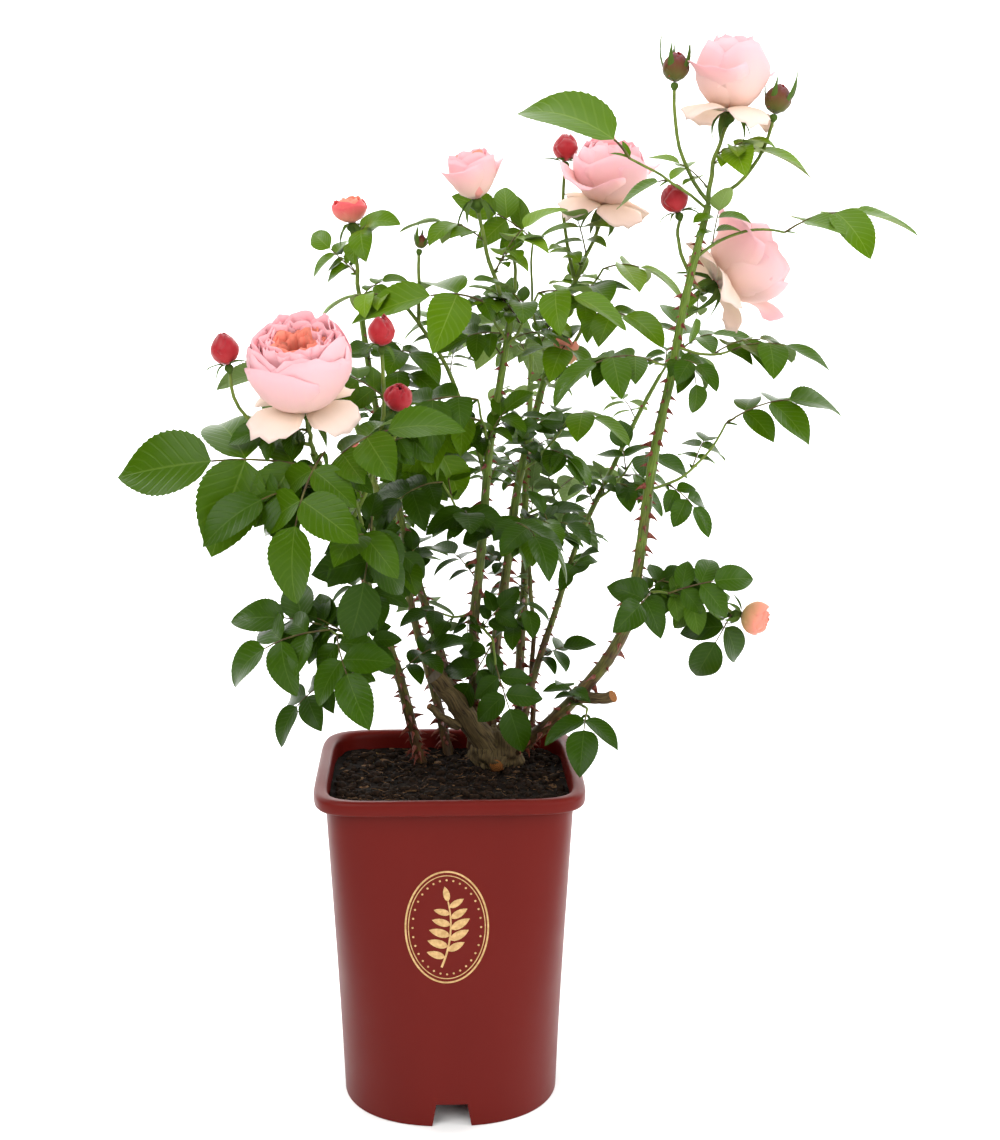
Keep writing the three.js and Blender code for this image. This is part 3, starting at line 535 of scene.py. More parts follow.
# ---- finishes
@dataclass(frozen=True)
class Finish:
    """A material made by nodes.

    Attributes:
        name: What the real one is and how its surface was made.
        colour: sRGB hex of its main colour.
        second: sRGB hex of the colour it varies to.
        roughness: Of the clean surface.
        grain: Size of its pattern, mm.
        bump: Depth of its relief, mm.
        specular: The shader's specular level, 0.5 for a smooth plain surface.
    """

    name: str
    colour: str
    second: str
    roughness: float = 0.6
    grain: float = 4.0
    bump: float = 0.3
    specular: float = 0.3

    def material(self) -> Material:
        """Makes the material once, then finds it again by its name.

        Returns:
            The material.
        """
        made = bpy.data.materials.get(self.name)
        if made is None:
            made = bpy.data.materials.new(self.name)
            made.use_nodes = True
            shader = made.node_tree.nodes["Principled BSDF"]
            shader.inputs["Roughness"].default_value = self.roughness
            shader.inputs["Specular IOR Level"].default_value = self.specular
            made.diffuse_color = linear(self.colour)
            self.dress(made.node_tree, shader)
        return made

    def coat(self, tree: NodeTree, shader: Node, share: NodeSocket,
             height: NodeSocket | None = None) -> NodeSocket:
        """Colours the surface between its two colours, and raises its relief.

        Args:
            tree: The material's node tree.
            shader: Its Principled shader.
            share: 0 where the surface has its main colour, 1 where it has its second.
            height: Of the relief, from 0 to 1, if it has one.

        Returns:
            The colour.
        """
        colours = {SHARE: share, LOW: linear(self.colour), HIGH: linear(self.second)}
        colour = add_node(tree, "Mix", colours, MIXED, shader.inputs["Base Color"], data_type="RGBA")
        if height:
            add_node(tree, "Bump", {"Height": height, "Distance": self.bump * MM},
                     into=shader.inputs["Normal"])
        return colour

    def dress(self, tree: NodeTree, shader: Node) -> None:
        """Mottles the colour and raises a fine relief, both from noise on Object coordinates.

        Args:
            tree: The material's node tree.
            shader: Its Principled shader.
        """
        place = add_node(tree, "TexCoord", out="Object")
        noise = add_node(tree, "TexNoise", {"Vector": place, "Scale": PER_METRE / self.grain, "Detail": 4.0})
        share = add_node(tree, "MapRange", {"Value": noise, "From Min": 0.36, "From Max": 0.64})
        self.coat(tree, shader, share, noise)


@dataclass(frozen=True)
class MouldedPlastic(Finish):
    """Injection-moulded polypropylene: an even glossy red, streaked very slightly by the flow into the tool.

    Attributes:
        touch: Size of the patches that handling has dulled, mm.
        dulling: Roughness that it has added there.
        ior: Index of refraction of the plastic.
    """

    touch: float = 45.0
    dulling: float = 0.06
    ior: float = 1.49

    def dress(self, tree: NodeTree, shader: Node) -> None:
        """Gives the slow upright flow streaks, and the handling that dulls the gloss here and there.

        Args:
            tree: The material's node tree.
            shader: Its Principled shader.
        """
        place = add_node(tree, "TexCoord", out="Object")
        flow = add_node(tree, "Mapping", {"Vector": place, "Scale": (1.0, 1.0, 0.3)})
        slow = add_node(tree, "TexNoise", {"Vector": flow, "Scale": PER_METRE / self.grain, "Detail": 1.0})
        self.coat(tree, shader, slow)
        handled = add_node(tree, "TexNoise",
                           {"Vector": place, "Scale": PER_METRE / self.touch, "Detail": 3.0})
        dulled = {"To Min": self.roughness, "To Max": self.roughness + self.dulling}
        add_node(tree, "MapRange", {"Value": handled, "From Min": 0.35, "From Max": 0.75, **dulled},
                 into=shader.inputs["Roughness"])
        shader.inputs["IOR"].default_value = self.ior


@dataclass(frozen=True)
class Bark(Finish):
    """Rose bark: brown and ridged along the limb where it is old, smooth and green where it is young.

    Attributes:
        young: sRGB hex of the green bark.
        fresh: sRGB hex of the green bark's paler streaks.
        ripe: Height up to which the bark is fully old, m.
        green: Height from which it is fully green, m.
        patch: Size of the patches that ripen early or late, mm.
        stray: Greatest difference in height that they make, m.
    """

    young: str = "445a16"
    fresh: str = "667c2a"
    ripe: float = 0.29
    green: float = 0.47
    patch: float = 16.0
    stray: float = 0.3

    def dress(self, tree: NodeTree, shader: Node) -> None:
        """Runs ridges along the limb on its own UV, in mm, and turns brown bark to green with height.

        Args:
            tree: The material's node tree.
            shader: Its Principled shader.
        """
        skin = add_node(tree, "TexCoord", out="UV")
        place = skin.node.outputs["Object"]
        along = add_node(tree, "Mapping", {"Vector": skin, "Scale": (1 / self.grain, 0.1 / self.grain, 1.0)})
        ridges = add_node(tree, "TexNoise", {"Vector": along, "Scale": 1.0, "Detail": 5.0, "Roughness": 0.65})
        contrast = add_node(tree, "MapRange", {"Value": ridges, "From Min": 0.36, "From Max": 0.64})
        brown = add_node(tree, "Mix",
                         {SHARE: contrast, LOW: linear(self.second), HIGH: linear(self.colour)}, MIXED,
                         data_type="RGBA")
        green = add_node(tree, "Mix",
                         {SHARE: contrast, LOW: linear(self.young), HIGH: linear(self.fresh)}, MIXED,
                         data_type="RGBA")
        patches = add_node(tree, "TexNoise",
                           {"Vector": place, "Scale": PER_METRE / self.patch, "Detail": 4.0})
        height = add_node(tree, "SeparateXYZ", {"Vector": place}, "Z")
        strayed = add_node(tree, "Math", {0: patches, 1: self.stray, 2: height}, operation="MULTIPLY_ADD")
        middle = self.stray / 2  # what the patches add to the height on average
        age = add_node(tree, "MapRange",
                       {"Value": strayed, "From Min": self.ripe + middle, "From Max": self.green + middle})
        add_node(tree, "Mix", {SHARE: age, LOW: brown, HIGH: green}, MIXED,
                 shader.inputs["Base Color"], data_type="RGBA")
        add_node(tree, "Bump", {"Height": ridges, "Distance": self.bump * MM}, into=shader.inputs["Normal"])


@dataclass(frozen=True)
class SawnWood(Finish):
    """Live wood cut across by secateurs or a saw: pale rings round a darker pith, browned by the air."""

    def dress(self, tree: NodeTree, shader: Node) -> None:
        """Draws growth rings round the middle of the cap's own UV, broken by noise.

        Args:
            tree: The material's node tree.
            shader: Its Principled shader.
        """
        face = add_node(tree, "TexCoord", out="UV")
        centred = add_node(tree, "Mapping", {"Vector": face, "Location": (-0.5, -0.5, 0.0)})
        rings = add_node(tree, "TexWave",
                         {"Vector": centred, "Scale": 2.6, "Distortion": 3.0, "Detail": 3.0}, "Fac",
                         wave_type="RINGS", rings_direction="SPHERICAL")
        self.coat(tree, shader, rings, rings)


@dataclass(frozen=True)
class LivingSkin(Finish):
    """The skin of a thin living blade, which lets some light through.

    Attributes:
        glow: Share of the light that passes through.
    """

    glow: float = 0.18

    def let_light_through(self, tree: NodeTree, shader: Node,
                          colour: NodeSocket) -> None:
        """Mixes the surface with light that has passed through it and taken its colour.

        Args:
            tree: The material's node tree.
            shader: Its Principled shader.
            colour: The colour that the light takes.
        """
        through = add_node(tree, "BsdfTranslucent", {"Color": colour})
        add_node(tree, "MixShader", {0: self.glow, 1: shader.outputs[0], 2: through},
                 into=tree.nodes["Material Output"].inputs["Surface"])


@dataclass(frozen=True)
class LeafSkin(LivingSkin):
    """The skin of a leaf: waxy above, dull and pale below, netted with veins.

    Attributes:
        veins: Side veins from base to tip.
        slant: How far a side vein climbs on its way to the edge, as a share of the length.
        sunken: Veins sink into the upper side and stand out below.
    """

    veins: float = 9.0
    slant: float = 0.26
    sunken: bool = True

    def dress(self, tree: NodeTree, shader: Node) -> None:
        """Draws midrib and slanting side veins on the blade's own UV, and lets some light through it.

        Args:
            tree: The material's node tree.
            shader: Its Principled shader.
        """
        skin = add_node(tree, "TexCoord", out="UV")
        side = add_node(tree, "SeparateXYZ", {"Vector": skin})
        across = add_node(tree, "Math", {0: side}, operation="ABSOLUTE")
        rib = add_node(tree, "MapRange",
                       {"Value": across, "From Min": 0.012, "From Max": 0.05, "To Min": 1.0, "To Max": 0.0})
        slanted = add_node(tree, "Math", {0: across, 1: -self.slant, 2: side.node.outputs["Y"]},
                           operation="MULTIPLY_ADD")
        turns = add_node(tree, "Math", {0: slanted, 1: 2 * math.pi * self.veins}, operation="MULTIPLY")
        wave = add_node(tree, "Math", {0: turns}, operation="SINE")
        vein = add_node(tree, "MapRange", {"Value": wave, "From Min": 0.55, "From Max": 1.0})
        height = add_node(tree, "Math", {0: rib, 1: vein}, operation="MAXIMUM")
        faint = add_node(tree, "Math", {0: vein, 1: 0.28}, operation="MULTIPLY")
        lines = add_node(tree, "Math", {0: rib, 1: faint}, operation="MAXIMUM")
        share = add_node(tree, "Math", {0: lines, 1: 0.45}, operation="MULTIPLY")
        add_node(tree, "Bump", {"Height": height, "Distance": self.bump * MM, "Strength": 0.8},
                 into=shader.inputs["Normal"], invert=self.sunken)
        self.let_light_through(tree, shader, self.coat(tree, shader, share))


@dataclass(frozen=True)
class PetalSkin(LivingSkin):
    """A rose petal: velvety and finely lined from its base, paler where it has opened, and full of light.

    Attributes:
        sheen: Weight of the velvety sheen.
    """

    glow: float = 0.34
    sheen: float = 0.12

    def dress(self, tree: NodeTree, shader: Node) -> None:
        """Passes from the base's colour to the edge's along the petal's own UV, with fine lengthwise lines.

        Args:
            tree: The material's node tree.
            shader: Its Principled shader.
        """
        skin = add_node(tree, "TexCoord", out="UV")
        run = add_node(tree, "SeparateXYZ", {"Vector": skin}, "Y")
        long = add_node(tree, "Mapping", {"Vector": skin, "Scale": (11.0, 1.2, 1.0)})
        lines = add_node(tree, "TexNoise", {"Vector": long, "Scale": 1.0, "Detail": 3.0})
        strayed = add_node(tree, "Math", {0: lines, 1: 0.3, 2: run}, operation="MULTIPLY_ADD")
        share = add_node(tree, "MapRange", {"Value": strayed, "From Min": 0.35, "From Max": 1.05})
        shader.inputs["Sheen Weight"].default_value = self.sheen
        self.let_light_through(tree, shader, self.coat(tree, shader, share, lines))


@dataclass(frozen=True)
class GoldInk(Finish):
    """Bronze printing ink on the plastic: flat metal flakes in varnish, so a warm half-metallic shine.

    Attributes:
        metallic: Share of its face that the flakes cover.
    """

    metallic: float = 0.7

    def dress(self, tree: NodeTree, shader: Node) -> None:
        """Mottles the flakes and makes the ink a metal."""
        super().dress(tree, shader)
        shader.inputs["Metallic"].default_value = self.metallic


POT_RED = MouldedPlastic("injection-moulded oxblood polypropylene", "590f09", "61130c", 0.4, 60.0,
                         specular=0.13)
GOLD = GoldInk("screen-printed bronze ink", "b08d5c", "cdab78", 0.38, 3.0, 0.02)
MIX = Finish("moist peat and bark potting mix", "0a0604", "1a110b", 0.9, 5.0, 1.2, 0.1)
CRUMB = Finish("crumbled peat", "0f0a06", "291c13", 0.95, 2.5, 0.6, 0.1)
CHIP = Finish("composted bark chips and fibre", "3a281b", "6b5138", 0.85, 3.0, 0.3, 0.1)
OLD_BARK = Bark("old rose bark", "6b5a3a", "2d2316", 0.82, 1.6, 0.6, 0.2, ripe=0.6, green=0.9)
CANE_BARK = Bark("rose cane bark", "5d4626", "35241a", 0.5, 1.4, 0.18, 0.25, ripe=0.28, green=0.5)
PRICKLE = Finish("horny rose prickles", "571c12", "7f4434", 0.5, 2.0, 0.05, 0.25)
SAWN = SawnWood("cut rose wood", "5a3216", "96602c", 0.75, 3.0, 0.15, 0.2)
STALK = Finish("leaf stalks", "44331f", "5c5a2a", 0.5, 8.0, 0.05, 0.2)
STEM = Finish("young green stems", "4f6220", "6a7a30", 0.5, 8.0, 0.05, 0.25)
SEPAL = LeafSkin("downy sepals", "455e1e", "66793a", 0.6, 3.0, 0.05, 0.15, glow=0.1, veins=4.0)
# Leaf greens from old to young, darker to lighter: name, upper side, veins, and underside. They are picked by
# height, so they stand partly for the leaves' age and partly for painted shade low in the bush and painted
# sheen high up.
GREENS_AGE_AND_SHADE = (
    ("deep", "2a4502", "4a6424", "57703a"),
    ("mature", "325002", "56702a", "627a40"),
    ("summer", "3d5c02", "678030", "6e8646"),
    ("fresh", "517205", "809a3c", "829a50"),
    ("young", "678810", "97ac4e", "96a862"),
)
PETALS = {
    "cream": PetalSkin("cream guard petals", "f0ddc6", "f6e2d8", 0.55, 3.0, 0.05, 0.15),
    "shell": PetalSkin("shell pink petals", "f8d8c8", "f9cad0", 0.5, 3.0, 0.05, 0.15),
    "pink": PetalSkin("ruffled pink petals", "f8ada2", "f9c4ca", 0.5, 3.0, 0.05, 0.15),
    "coral": PetalSkin("coral heart petals", "fb7450", "fba088", 0.5, 3.0, 0.05, 0.15),
    "red": PetalSkin("crimson bud petals", "b82a30", "940e1c", 0.4, 3.0, 0.04, 0.25, glow=0.12),
    "salmon": PetalSkin("salmon bud petals", "f19a80", "e25f62", 0.45, 3.0, 0.04, 0.15, glow=0.25),
    "peach": PetalSkin("peach bud petals", "d8b072", "ea9682", 0.5, 3.0, 0.04, 0.15, glow=0.25),
    "olive": PetalSkin("unopened bud petals", "54581f", "641a1a", 0.5, 3.0, 0.04, 0.2, glow=0.08),
}


# ---- the plant's tables, mm
class Facing(Enum):
    """The way a leaf's upper side looks."""

    FRONT = (0.0, -0.86, 0.5)
    LIFTED = (0.0, -0.55, 0.84)
    UP = (0.0, -0.22, 0.97)
    LEFT = (-0.45, -0.6, 0.66)
    BACK = (0.0, 0.55, 0.83)


FRONT, LIFTED, UP, LEFT, BACK = Facing
RUFFLE_RADIUS = 37  # radius of the flower whose ruffles the forms give, mm


class Form(Enum):
    """How a flower's petals close: its rings of petals from the outside in.

    Each ring gives how many, mouth and half width as shares of the flower's radius, height as a share of its
    own, angle of the tips in degrees off the axis, ruffle in mm, and which of the flower's three finishes.
    """

    QUARTERED = (  # a wide cup packed with ruffles
        (5, 0.76, 0.88, 0.86, -38, 1.2, 0), (5, 0.7, 0.84, 0.94, -42, 1.4, 0),
        (6, 0.64, 0.6, 0.98, -34, 2.0, 0),
        (8, 0.57, 0.38, 1.0, -20, 2.6, 1), (9, 0.5, 0.33, 0.99, -8, 2.8, 1), (9, 0.43, 0.3, 0.97, 0, 2.8, 1),
        (9, 0.35, 0.27, 0.93, 6, 2.6, 2), (9, 0.27, 0.25, 0.9, 8, 2.4, 2), (8, 0.19, 0.22, 0.88, 8, 2.2, 2),
        (6, 0.11, 0.19, 0.86, 4, 1.8, 2), (4, 0.03, 0.15, 0.84, 0, 1.2, 2),
    )
    DOMED = (  # an egg-shaped cup with its outermost petals folded out
        (2, 1.6, 0.95, 0.56, 85, 2.8, 0), (3, 0.8, 1.2, 0.84, -28, 2.8, 0),
        (4, 0.66, 1.0, 0.93, -50, 2.0, 0), (4, 0.52, 0.8, 0.98, -56, 1.8, 0),
        (5, 0.42, 0.5, 1.0, -42, 2.2, 1), (6, 0.3, 0.4, 1.0, -30, 2.2, 1), (6, 0.19, 0.3, 0.97, -14, 2.0, 2),
        (4, 0.08, 0.2, 0.93, 0, 1.4, 2),
    )
    VASE = (  # a half-open cup with two petals fallen back
        (2, 1.3, 1.0, 0.66, 55, 2.0, 0), (3, 0.74, 0.95, 0.9, -12, 1.6, 0), (4, 0.56, 0.8, 1.0, -26, 1.6, 1),
        (4, 0.38, 0.6, 0.98, -22, 1.6, 1), (3, 0.2, 0.4, 0.94, -10, 1.2, 2),
    )
    GLOBE = (  # a small globe that is about to open
        (4, 0.8, 1.1, 0.78, -44, 2.6, 0), (4, 0.66, 1.0, 0.9, -56, 2.4, 0), (5, 0.46, 0.7, 0.98, -44, 2.4, 1),
        (5, 0.28, 0.5, 1.0, -30, 2.2, 1), (4, 0.1, 0.3, 0.95, -10, 1.6, 2),
    )
    BUD = (  # a closed bud
        (3, 0.42, 1.2, 0.84, -75, 2.4, 0), (3, 0.34, 1.2, 0.92, -72, 2.2, 0),
        (3, 0.22, 1.15, 0.98, -70, 1.6, 1), (3, 0.08, 1.1, 1.0, -70, 0.8, 2),
        (2, 0.0, 0.8, 0.99, -78, 0.4, 2),
    )


@dataclass(frozen=True)
class FlowerShape:
    """A flower's greatest radius and height in mm, its form, and its finishes from outside in.

    Attributes:
        guards: How many loose outer petals hang under the cup.
        guard_reach: How far they reach, mm.
        guard_tilt: How far they have fallen off the axis, degrees.
    """

    radius: float
    height: float
    form: Form
    guards: int = 0
    guard_reach: float = 0.0
    guard_tilt: float = 0.0
    skins: tuple[str, str, str] = ("shell", "pink", "coral")


class Flower(Enum):
    """The kinds of flower, each with its shape, and the bare cut end of a twig."""

    QUARTERED = FlowerShape(38, 66, Form.QUARTERED, 4, 54, 108)
    OPEN_CUP = FlowerShape(31, 56, Form.DOMED, 4, 50, 118)
    TOP_CUP = FlowerShape(24, 58, Form.DOMED, 4, 48, 118)
    LEANING_CUP = FlowerShape(34, 58, Form.DOMED, 4, 50, 116)
    HALF_OPEN = FlowerShape(21, 44, Form.VASE)
    SMALL_HALF_OPEN = FlowerShape(13.5, 26, Form.GLOBE, skins=("salmon", "coral", "coral"))
    PEACH_BUD = FlowerShape(12.5, 27, Form.GLOBE, skins=("peach", "peach", "salmon"))
    RED_BUD = FlowerShape(9.6, 25, Form.BUD, skins=("red", "red", "red"))
    TIGHT_BUD = FlowerShape(6, 16, Form.BUD, skins=("salmon", "salmon", "red"))
    OLIVE_BUD = FlowerShape(8.6, 24, Form.BUD, skins=("olive", "olive", "red"))
    DRIED_BUD = FlowerShape(4.6, 13, Form.BUD, skins=("olive", "olive", "olive"))
    CUT = None


@dataclass(frozen=True)
class Limb:
    """One bough: its two ends, its bow, and its radii at foot and tip."""

    name: str
    foot: Triple
    tip: Triple
    bow: Triple
    radii: Pair


@dataclass(frozen=True)
class Bloom:
    """A flower of a spray: its kind, its axis, and its own twig's end, start on the stem, and bow."""

    kind: Flower
    axis: Triple = (0.0, 0.0, 1.0)
    to: Triple | None = None
    start: float = 0.0
    bow: Triple = (0.0, 0.0, 0.0)


@dataclass(frozen=True)
class Spray:
    """One stem with its leaves and flowers: the limb that carries it, where it ends, and its leaves.

    It starts at a share of the limb. Its first leaf stands at an angle in degrees, and its last may carry on
    from its tip along a lead. Leaflets are measured by the leaf's end leaflet, mm.
    """

    name: str
    on: str
    to: Triple
    leaves: int
    leaflet: float
    at: float = 1.0
    bow: Triple = (0.0, 0.0, 0.0)
    leaflets: int = 5
    turn: float = 0.0
    face: Facing = UP
    lead: Triple | None = None
    flowers: tuple[Bloom, ...] = ()


LIMBS = (
    Limb("old_trunk", (32, 38, 256), (-10, 31, 318), (-3, 2, 6), (9.5, 7.5)),
    Limb("dead_stub", (8, 34, 277), (-15, 22, 296), (0, 0, -2), (3.4, 2.6)),
    Limb("left_cane", (-20, 52, 236), (-93, -88, 505), (5, 14, 0), (4.4, 2.6)),
    Limb("left_middle_cane", (10, 36, 284), (-64, 47, 594), (-9, 14, 0), (3.9, 2.1)),
    Limb("centre_cane", (20, 60, 252), (47, 5, 593), (-8, 0, 0), (4.6, 2.6)),
    Limb("centre_right_cane", (34, 72, 252), (94, 88, 604), (-12, 4, 0), (4.6, 2.4)),
    Limb("right_cane_lower", (50, 38, 255), (136, -12, 366), (5, -3, -6), (5.4, 4.6)),
    Limb("right_cane_upper", (136, -12, 366), (184, -42, 674), (-4, 0, 6), (4.5, 2.5)),
    Limb("sawn_stub", (96, 8, 309), (124, -12, 311), (0, 0, -3), (4.6, 4.2)),
    Limb("thin_right_cane", (56, 58, 252), (176, 146, 541), (-14, 2, 0), (3.1, 1.7)),
    Limb("pale_shoot", (66, 76, 236), (66, 96, 396), (3, 0, 0), (2.5, 1.6)),
    Limb("back_left_cane", (2, 74, 236), (-78, 152, 515), (4, 2, 0), (4, 2.2)),
    Limb("back_right_cane", (56, 74, 236), (72, 182, 555), (0, 2, 0), (4.2, 2.2)),
)

SPRAYS = (
    Spray("big_bloom_spray", "left_cane", (-97, -96, 530), 1, 34, turn=200, face=LEFT, flowers=(
        Bloom(Flower.QUARTERED, (-0.06, -0.45, 0.89)),
        Bloom(Flower.RED_BUD, (-0.2, -0.1, 1), (-146, -114, 563), 0.25, (-14, -2, -8)),
    )),
    Spray("far_left_spray", "left_cane", (-84, -98, 494), 1, 75, 0.93, face=FRONT, lead=(-1, -0.05, 0.1)),
    Spray("left_upper_spray", "left_cane", (-84, -112, 509), 3, 56, 0.86, (0, -8, -6), turn=210,
          face=LEFT, lead=(-0.3, -0.5, -0.75)),
    Spray("left_lower_spray", "left_cane", (-86, -48, 372), 3, 47, 0.5, (-4, 0, -8), turn=160,
          face=LEFT, lead=(-0.95, -0.1, -0.25)),
    Spray("left_hanging_leaf", "left_cane", (-84, -6, 326), 1, 36, 0.36, (-4, 0, 4), turn=280,
          face=LEFT, lead=(-0.8, -0.4, -0.5)),
    Spray("left_front_spray", "left_cane", (-54, -70, 458), 2, 48, 0.68, (4, -10, -4), turn=250,
          face=FRONT, lead=(-0.1, -0.5, -0.8), flowers=(
              Bloom(Flower.TIGHT_BUD, (-0.1, -0.2, 1), (-68, -60, 498), 0.5, (-3, -2, -2)),
          )),
    Spray("two_bud_spray", "left_cane", (-46, -62, 572), 2, 34, 0.78, (10, -2, -4), turn=30,
          face=FRONT, flowers=(
              Bloom(Flower.RED_BUD, (0, -0.15, 1)),
              Bloom(Flower.RED_BUD, (0.1, -0.6, 0.7), (-36, -76, 532), 0.5, (6, -2, -4)),
          )),
    Spray("salmon_bloom_spray", "left_middle_cane", (-69, 44, 655), 2, 34, turn=150, face=LEFT,
          flowers=(Bloom(Flower.SMALL_HALF_OPEN, (-0.1, -0.1, 1)),)),
    Spray("left_middle_high_spray", "left_middle_cane", (-42, 16, 566), 2, 36, 0.82, (4, -4, -6), 3, 330,
          UP, (0.6, -0.6, 0.1)),
    Spray("left_middle_spray", "left_middle_cane", (-18, 12, 512), 2, 42, 0.62, (0, -4, -6), 3, 280,
          FRONT, (0.5, -0.3, -0.7)),
    Spray("left_middle_low_spray", "left_middle_cane", (-34, 22, 424), 2, 32, 0.34, (0, -3, -4), 3, 250,
          FRONT, (-0.1, -0.5, -0.8)),
    Spray("long_stalk_spray", "centre_cane", (-34, 2, 606), 2, 32, 0.64, (4, -2, 14), turn=80,
          lead=(-0.9, -0.1, 0.1), flowers=(
              Bloom(Flower.DRIED_BUD, (0.2, 0, 1), (-20, 3, 640), 0.82, (0, 0, 2)),
          )),
    Spray("half_open_bloom_spray", "centre_cane", (23, -6, 670), 2, 40, bow=(-1, 0, -6), turn=20, flowers=(
        Bloom(Flower.HALF_OPEN, (-0.16, -0.12, 1)),
        Bloom(Flower.CUT, to=(49, -4, 636), start=0.08, bow=(3, 0, 0)),
    )),
    Spray("centre_top_spray", "centre_cane", (66, -14, 612), 2, 46, 0.94, (0, 0, -4), 3, 190,
          UP, (0.75, -0.4, -0.05)),
    Spray("centre_left_leaf", "centre_cane", (26, -14, 606), 1, 62, 0.95, leaflets=3, face=LIFTED,
          lead=(-1, -0.15, 0.12)),
    Spray("centre_big_leaf_spray", "centre_cane", (22, -22, 536), 2, 50, 0.72, (0, -3, -3), 5, 200,
          LIFTED, (-0.8, -0.45, -0.05)),
    Spray("centre_spray", "centre_cane", (-4, -8, 474), 3, 40, 0.5, (0, -3, -3), 5, 300,
          LIFTED, (-0.7, -0.6, -0.2)),
    Spray("centre_front_spray", "centre_cane", (44, -26, 446), 2, 38, 0.56, (0, -5, 0), 5, 330,
          UP, (0.4, -0.8, -0.1)),
    Spray("front_low_leaf", "centre_cane", (36, 14, 330), 2, 36, 0.3, (4, -4, 8), 5, 230,
          FRONT, (0.25, -0.55, -0.75)),
    Spray("low_left_spray", "centre_cane", (-4, 34, 366), 2, 25, 0.34, (0, 0, -4), 3, 150,
          UP, (-0.7, -0.5, 0.2)),
    Spray("open_bloom_spray", "centre_right_cane", (121, 78, 667), 1, 34, bow=(-2, 0, -6), turn=230, flowers=(
        Bloom(Flower.OPEN_CUP, (0.12, -0.25, 1)),
        Bloom(Flower.RED_BUD, (0, 0, 1), (93, 92, 704), 0.3, (-5, 0, 4)),
    )),
    Spray("round_leaf_spray", "centre_right_cane", (66, 52, 650), 1, 36, 0.86, (-6, 0, -4), 5, 190,
          FRONT, (-0.75, -0.4, 0.5)),
    Spray("centre_right_high_spray", "centre_right_cane", (120, 62, 628), 2, 46, 0.96, (0, 0, -5), 3, 260,
          UP, (0.95, -0.3, 0.05)),
    Spray("centre_right_spray", "centre_right_cane", (106, 50, 590), 2, 42, 0.82, (0, -4, -6), 5, 240,
          UP, (0.55, -0.7, 0.1), flowers=(
              Bloom(Flower.PEACH_BUD, (0, -0.1, 1), (88, 40, 549), 0.05, (0, 0, -6)),
          )),
    Spray("centre_right_mid_spray", "centre_right_cane", (96, 66, 516), 3, 38, 0.62, (0, -4, -5), 3, 320,
          UP, (0.7, -0.6, 0)),
    Spray("centre_right_low_spray", "centre_right_cane", (72, 62, 432), 2, 28, 0.44, (0, -3, -4), 3, 300,
          UP, (0.3, -0.8, 0.1)),
    Spray("low_middle_spray", "centre_right_cane", (58, 48, 372), 2, 25, 0.26, (4, -4, -4), 3, 250,
          UP, (0.2, -0.8, -0.2)),
    Spray("pale_shoot_spray", "pale_shoot", (84, 68, 430), 3, 26, 1.0, (2, -6, 4), 3, 0,
          UP, (0.5, -0.6, 0.1)),
    Spray("pot_edge_spray", "right_cane_lower", (103, -22, 300), 1, 38, 0.45, (4, -6, 4), 3, 300,
          UP, (-0.15, -0.9, -0.25)),
    Spray("right_low_spray", "right_cane_upper", (160, -44, 396), 3, 34, 0.06, (0, -4, 4), 5, 200,
          FRONT, (0.85, -0.3, 0.3)),
    Spray("right_bud_spray", "right_cane_upper", (210, -28, 378), 2, 40, 0.1, (0, 4, 9), 3, 250,
          FRONT, (-0.5, -0.1, -0.9), flowers=(Bloom(Flower.PEACH_BUD, (0.8, -0.25, -0.15)),)),
    Spray("right_arching_spray", "right_cane_upper", (200, -42, 520), 1, 46, 0.32, (4, 0, -9), 5, 100,
          LIFTED, (0.9, -0.1, 0.35)),
    Spray("right_middle_spray", "right_cane_upper", (144, -58, 566), 2, 44, 0.63, (0, -4, -3), 5, 170,
          UP, (-0.85, -0.4, 0)),
    Spray("right_outer_spray", "right_cane_upper", (200, -48, 572), 2, 38, 0.66, (2, 0, -4), 5, 20,
          UP, (0.85, -0.3, 0.1)),
    Spray("far_right_leaf", "right_cane_upper", (240, -34, 655), 1, 52, 0.87, (0, 2, 9), 5, 20,
          UP, (0.95, 0.05, 0.25)),
    Spray("top_bloom_spray", "right_cane_upper", (195, -46, 728), 1, 54, 1.0, (-3, 0, 0), 3, 335, flowers=(
        Bloom(Flower.TOP_CUP, (0.08, -0.05, 1)),
        Bloom(Flower.OLIVE_BUD, (0.05, 0, 1), (157, -54, 752), 0.04, (-7, 0, -5)),
        Bloom(Flower.OLIVE_BUD, (0.2, 0, 1), (226, -54, 731), 0.06, (6, 0, -8)),
    )),
    Spray("top_left_leaf", "right_cane_upper", (126, -61, 705), 1, 84, 0.99, (0, -4, 2), 1, -35,
          LIFTED, (-0.96, -0.06, 1.1)),
    Spray("leaning_bloom_spray", "right_cane_upper", (190, 2, 613), 1, 26, 0.83, (0, 4, -3), turn=100,
          flowers=(
              Bloom(Flower.LEANING_CUP, (0.78, 0.1, 0.52)),
              Bloom(Flower.RED_BUD, (-0.3, -0.1, 1), (166, -30, 664), 0.05, (-5, 0, 3)),
          )),
    Spray("thin_cane_tip_spray", "thin_right_cane", (198, 146, 566), 3, 36, 1.0, (0, 0, 2), 3, 40,
          UP, (0.7, -0.3, 0.3)),
    Spray("thin_cane_spray", "thin_right_cane", (150, 100, 478), 3, 32, 0.66, (0, 0, -4), 3, 330,
          UP, (0.7, -0.5, 0.1)),
)


# Limbs of old brown wood, those whose ends are sawn across, those that bear leaves of their own, and those
# that run on into another as one cane.
OLD_WOOD = ("old_trunk", "dead_stub", "sawn_stub")
SAWN_ENDS = ("sawn_stub", "dead_stub")
LEAFY = ("left_cane", "left_middle_cane", "centre_cane", "centre_right_cane", "thin_right_cane",
         "pale_shoot", "back_left_cane", "back_right_cane")
CARRIED_ON = {"right_cane_lower": "right_cane_upper"}
WANDER = {"limb": 1.1, "stem": 0.7, "twig": 0.3}  # how far each kind of line strays sideways, mm


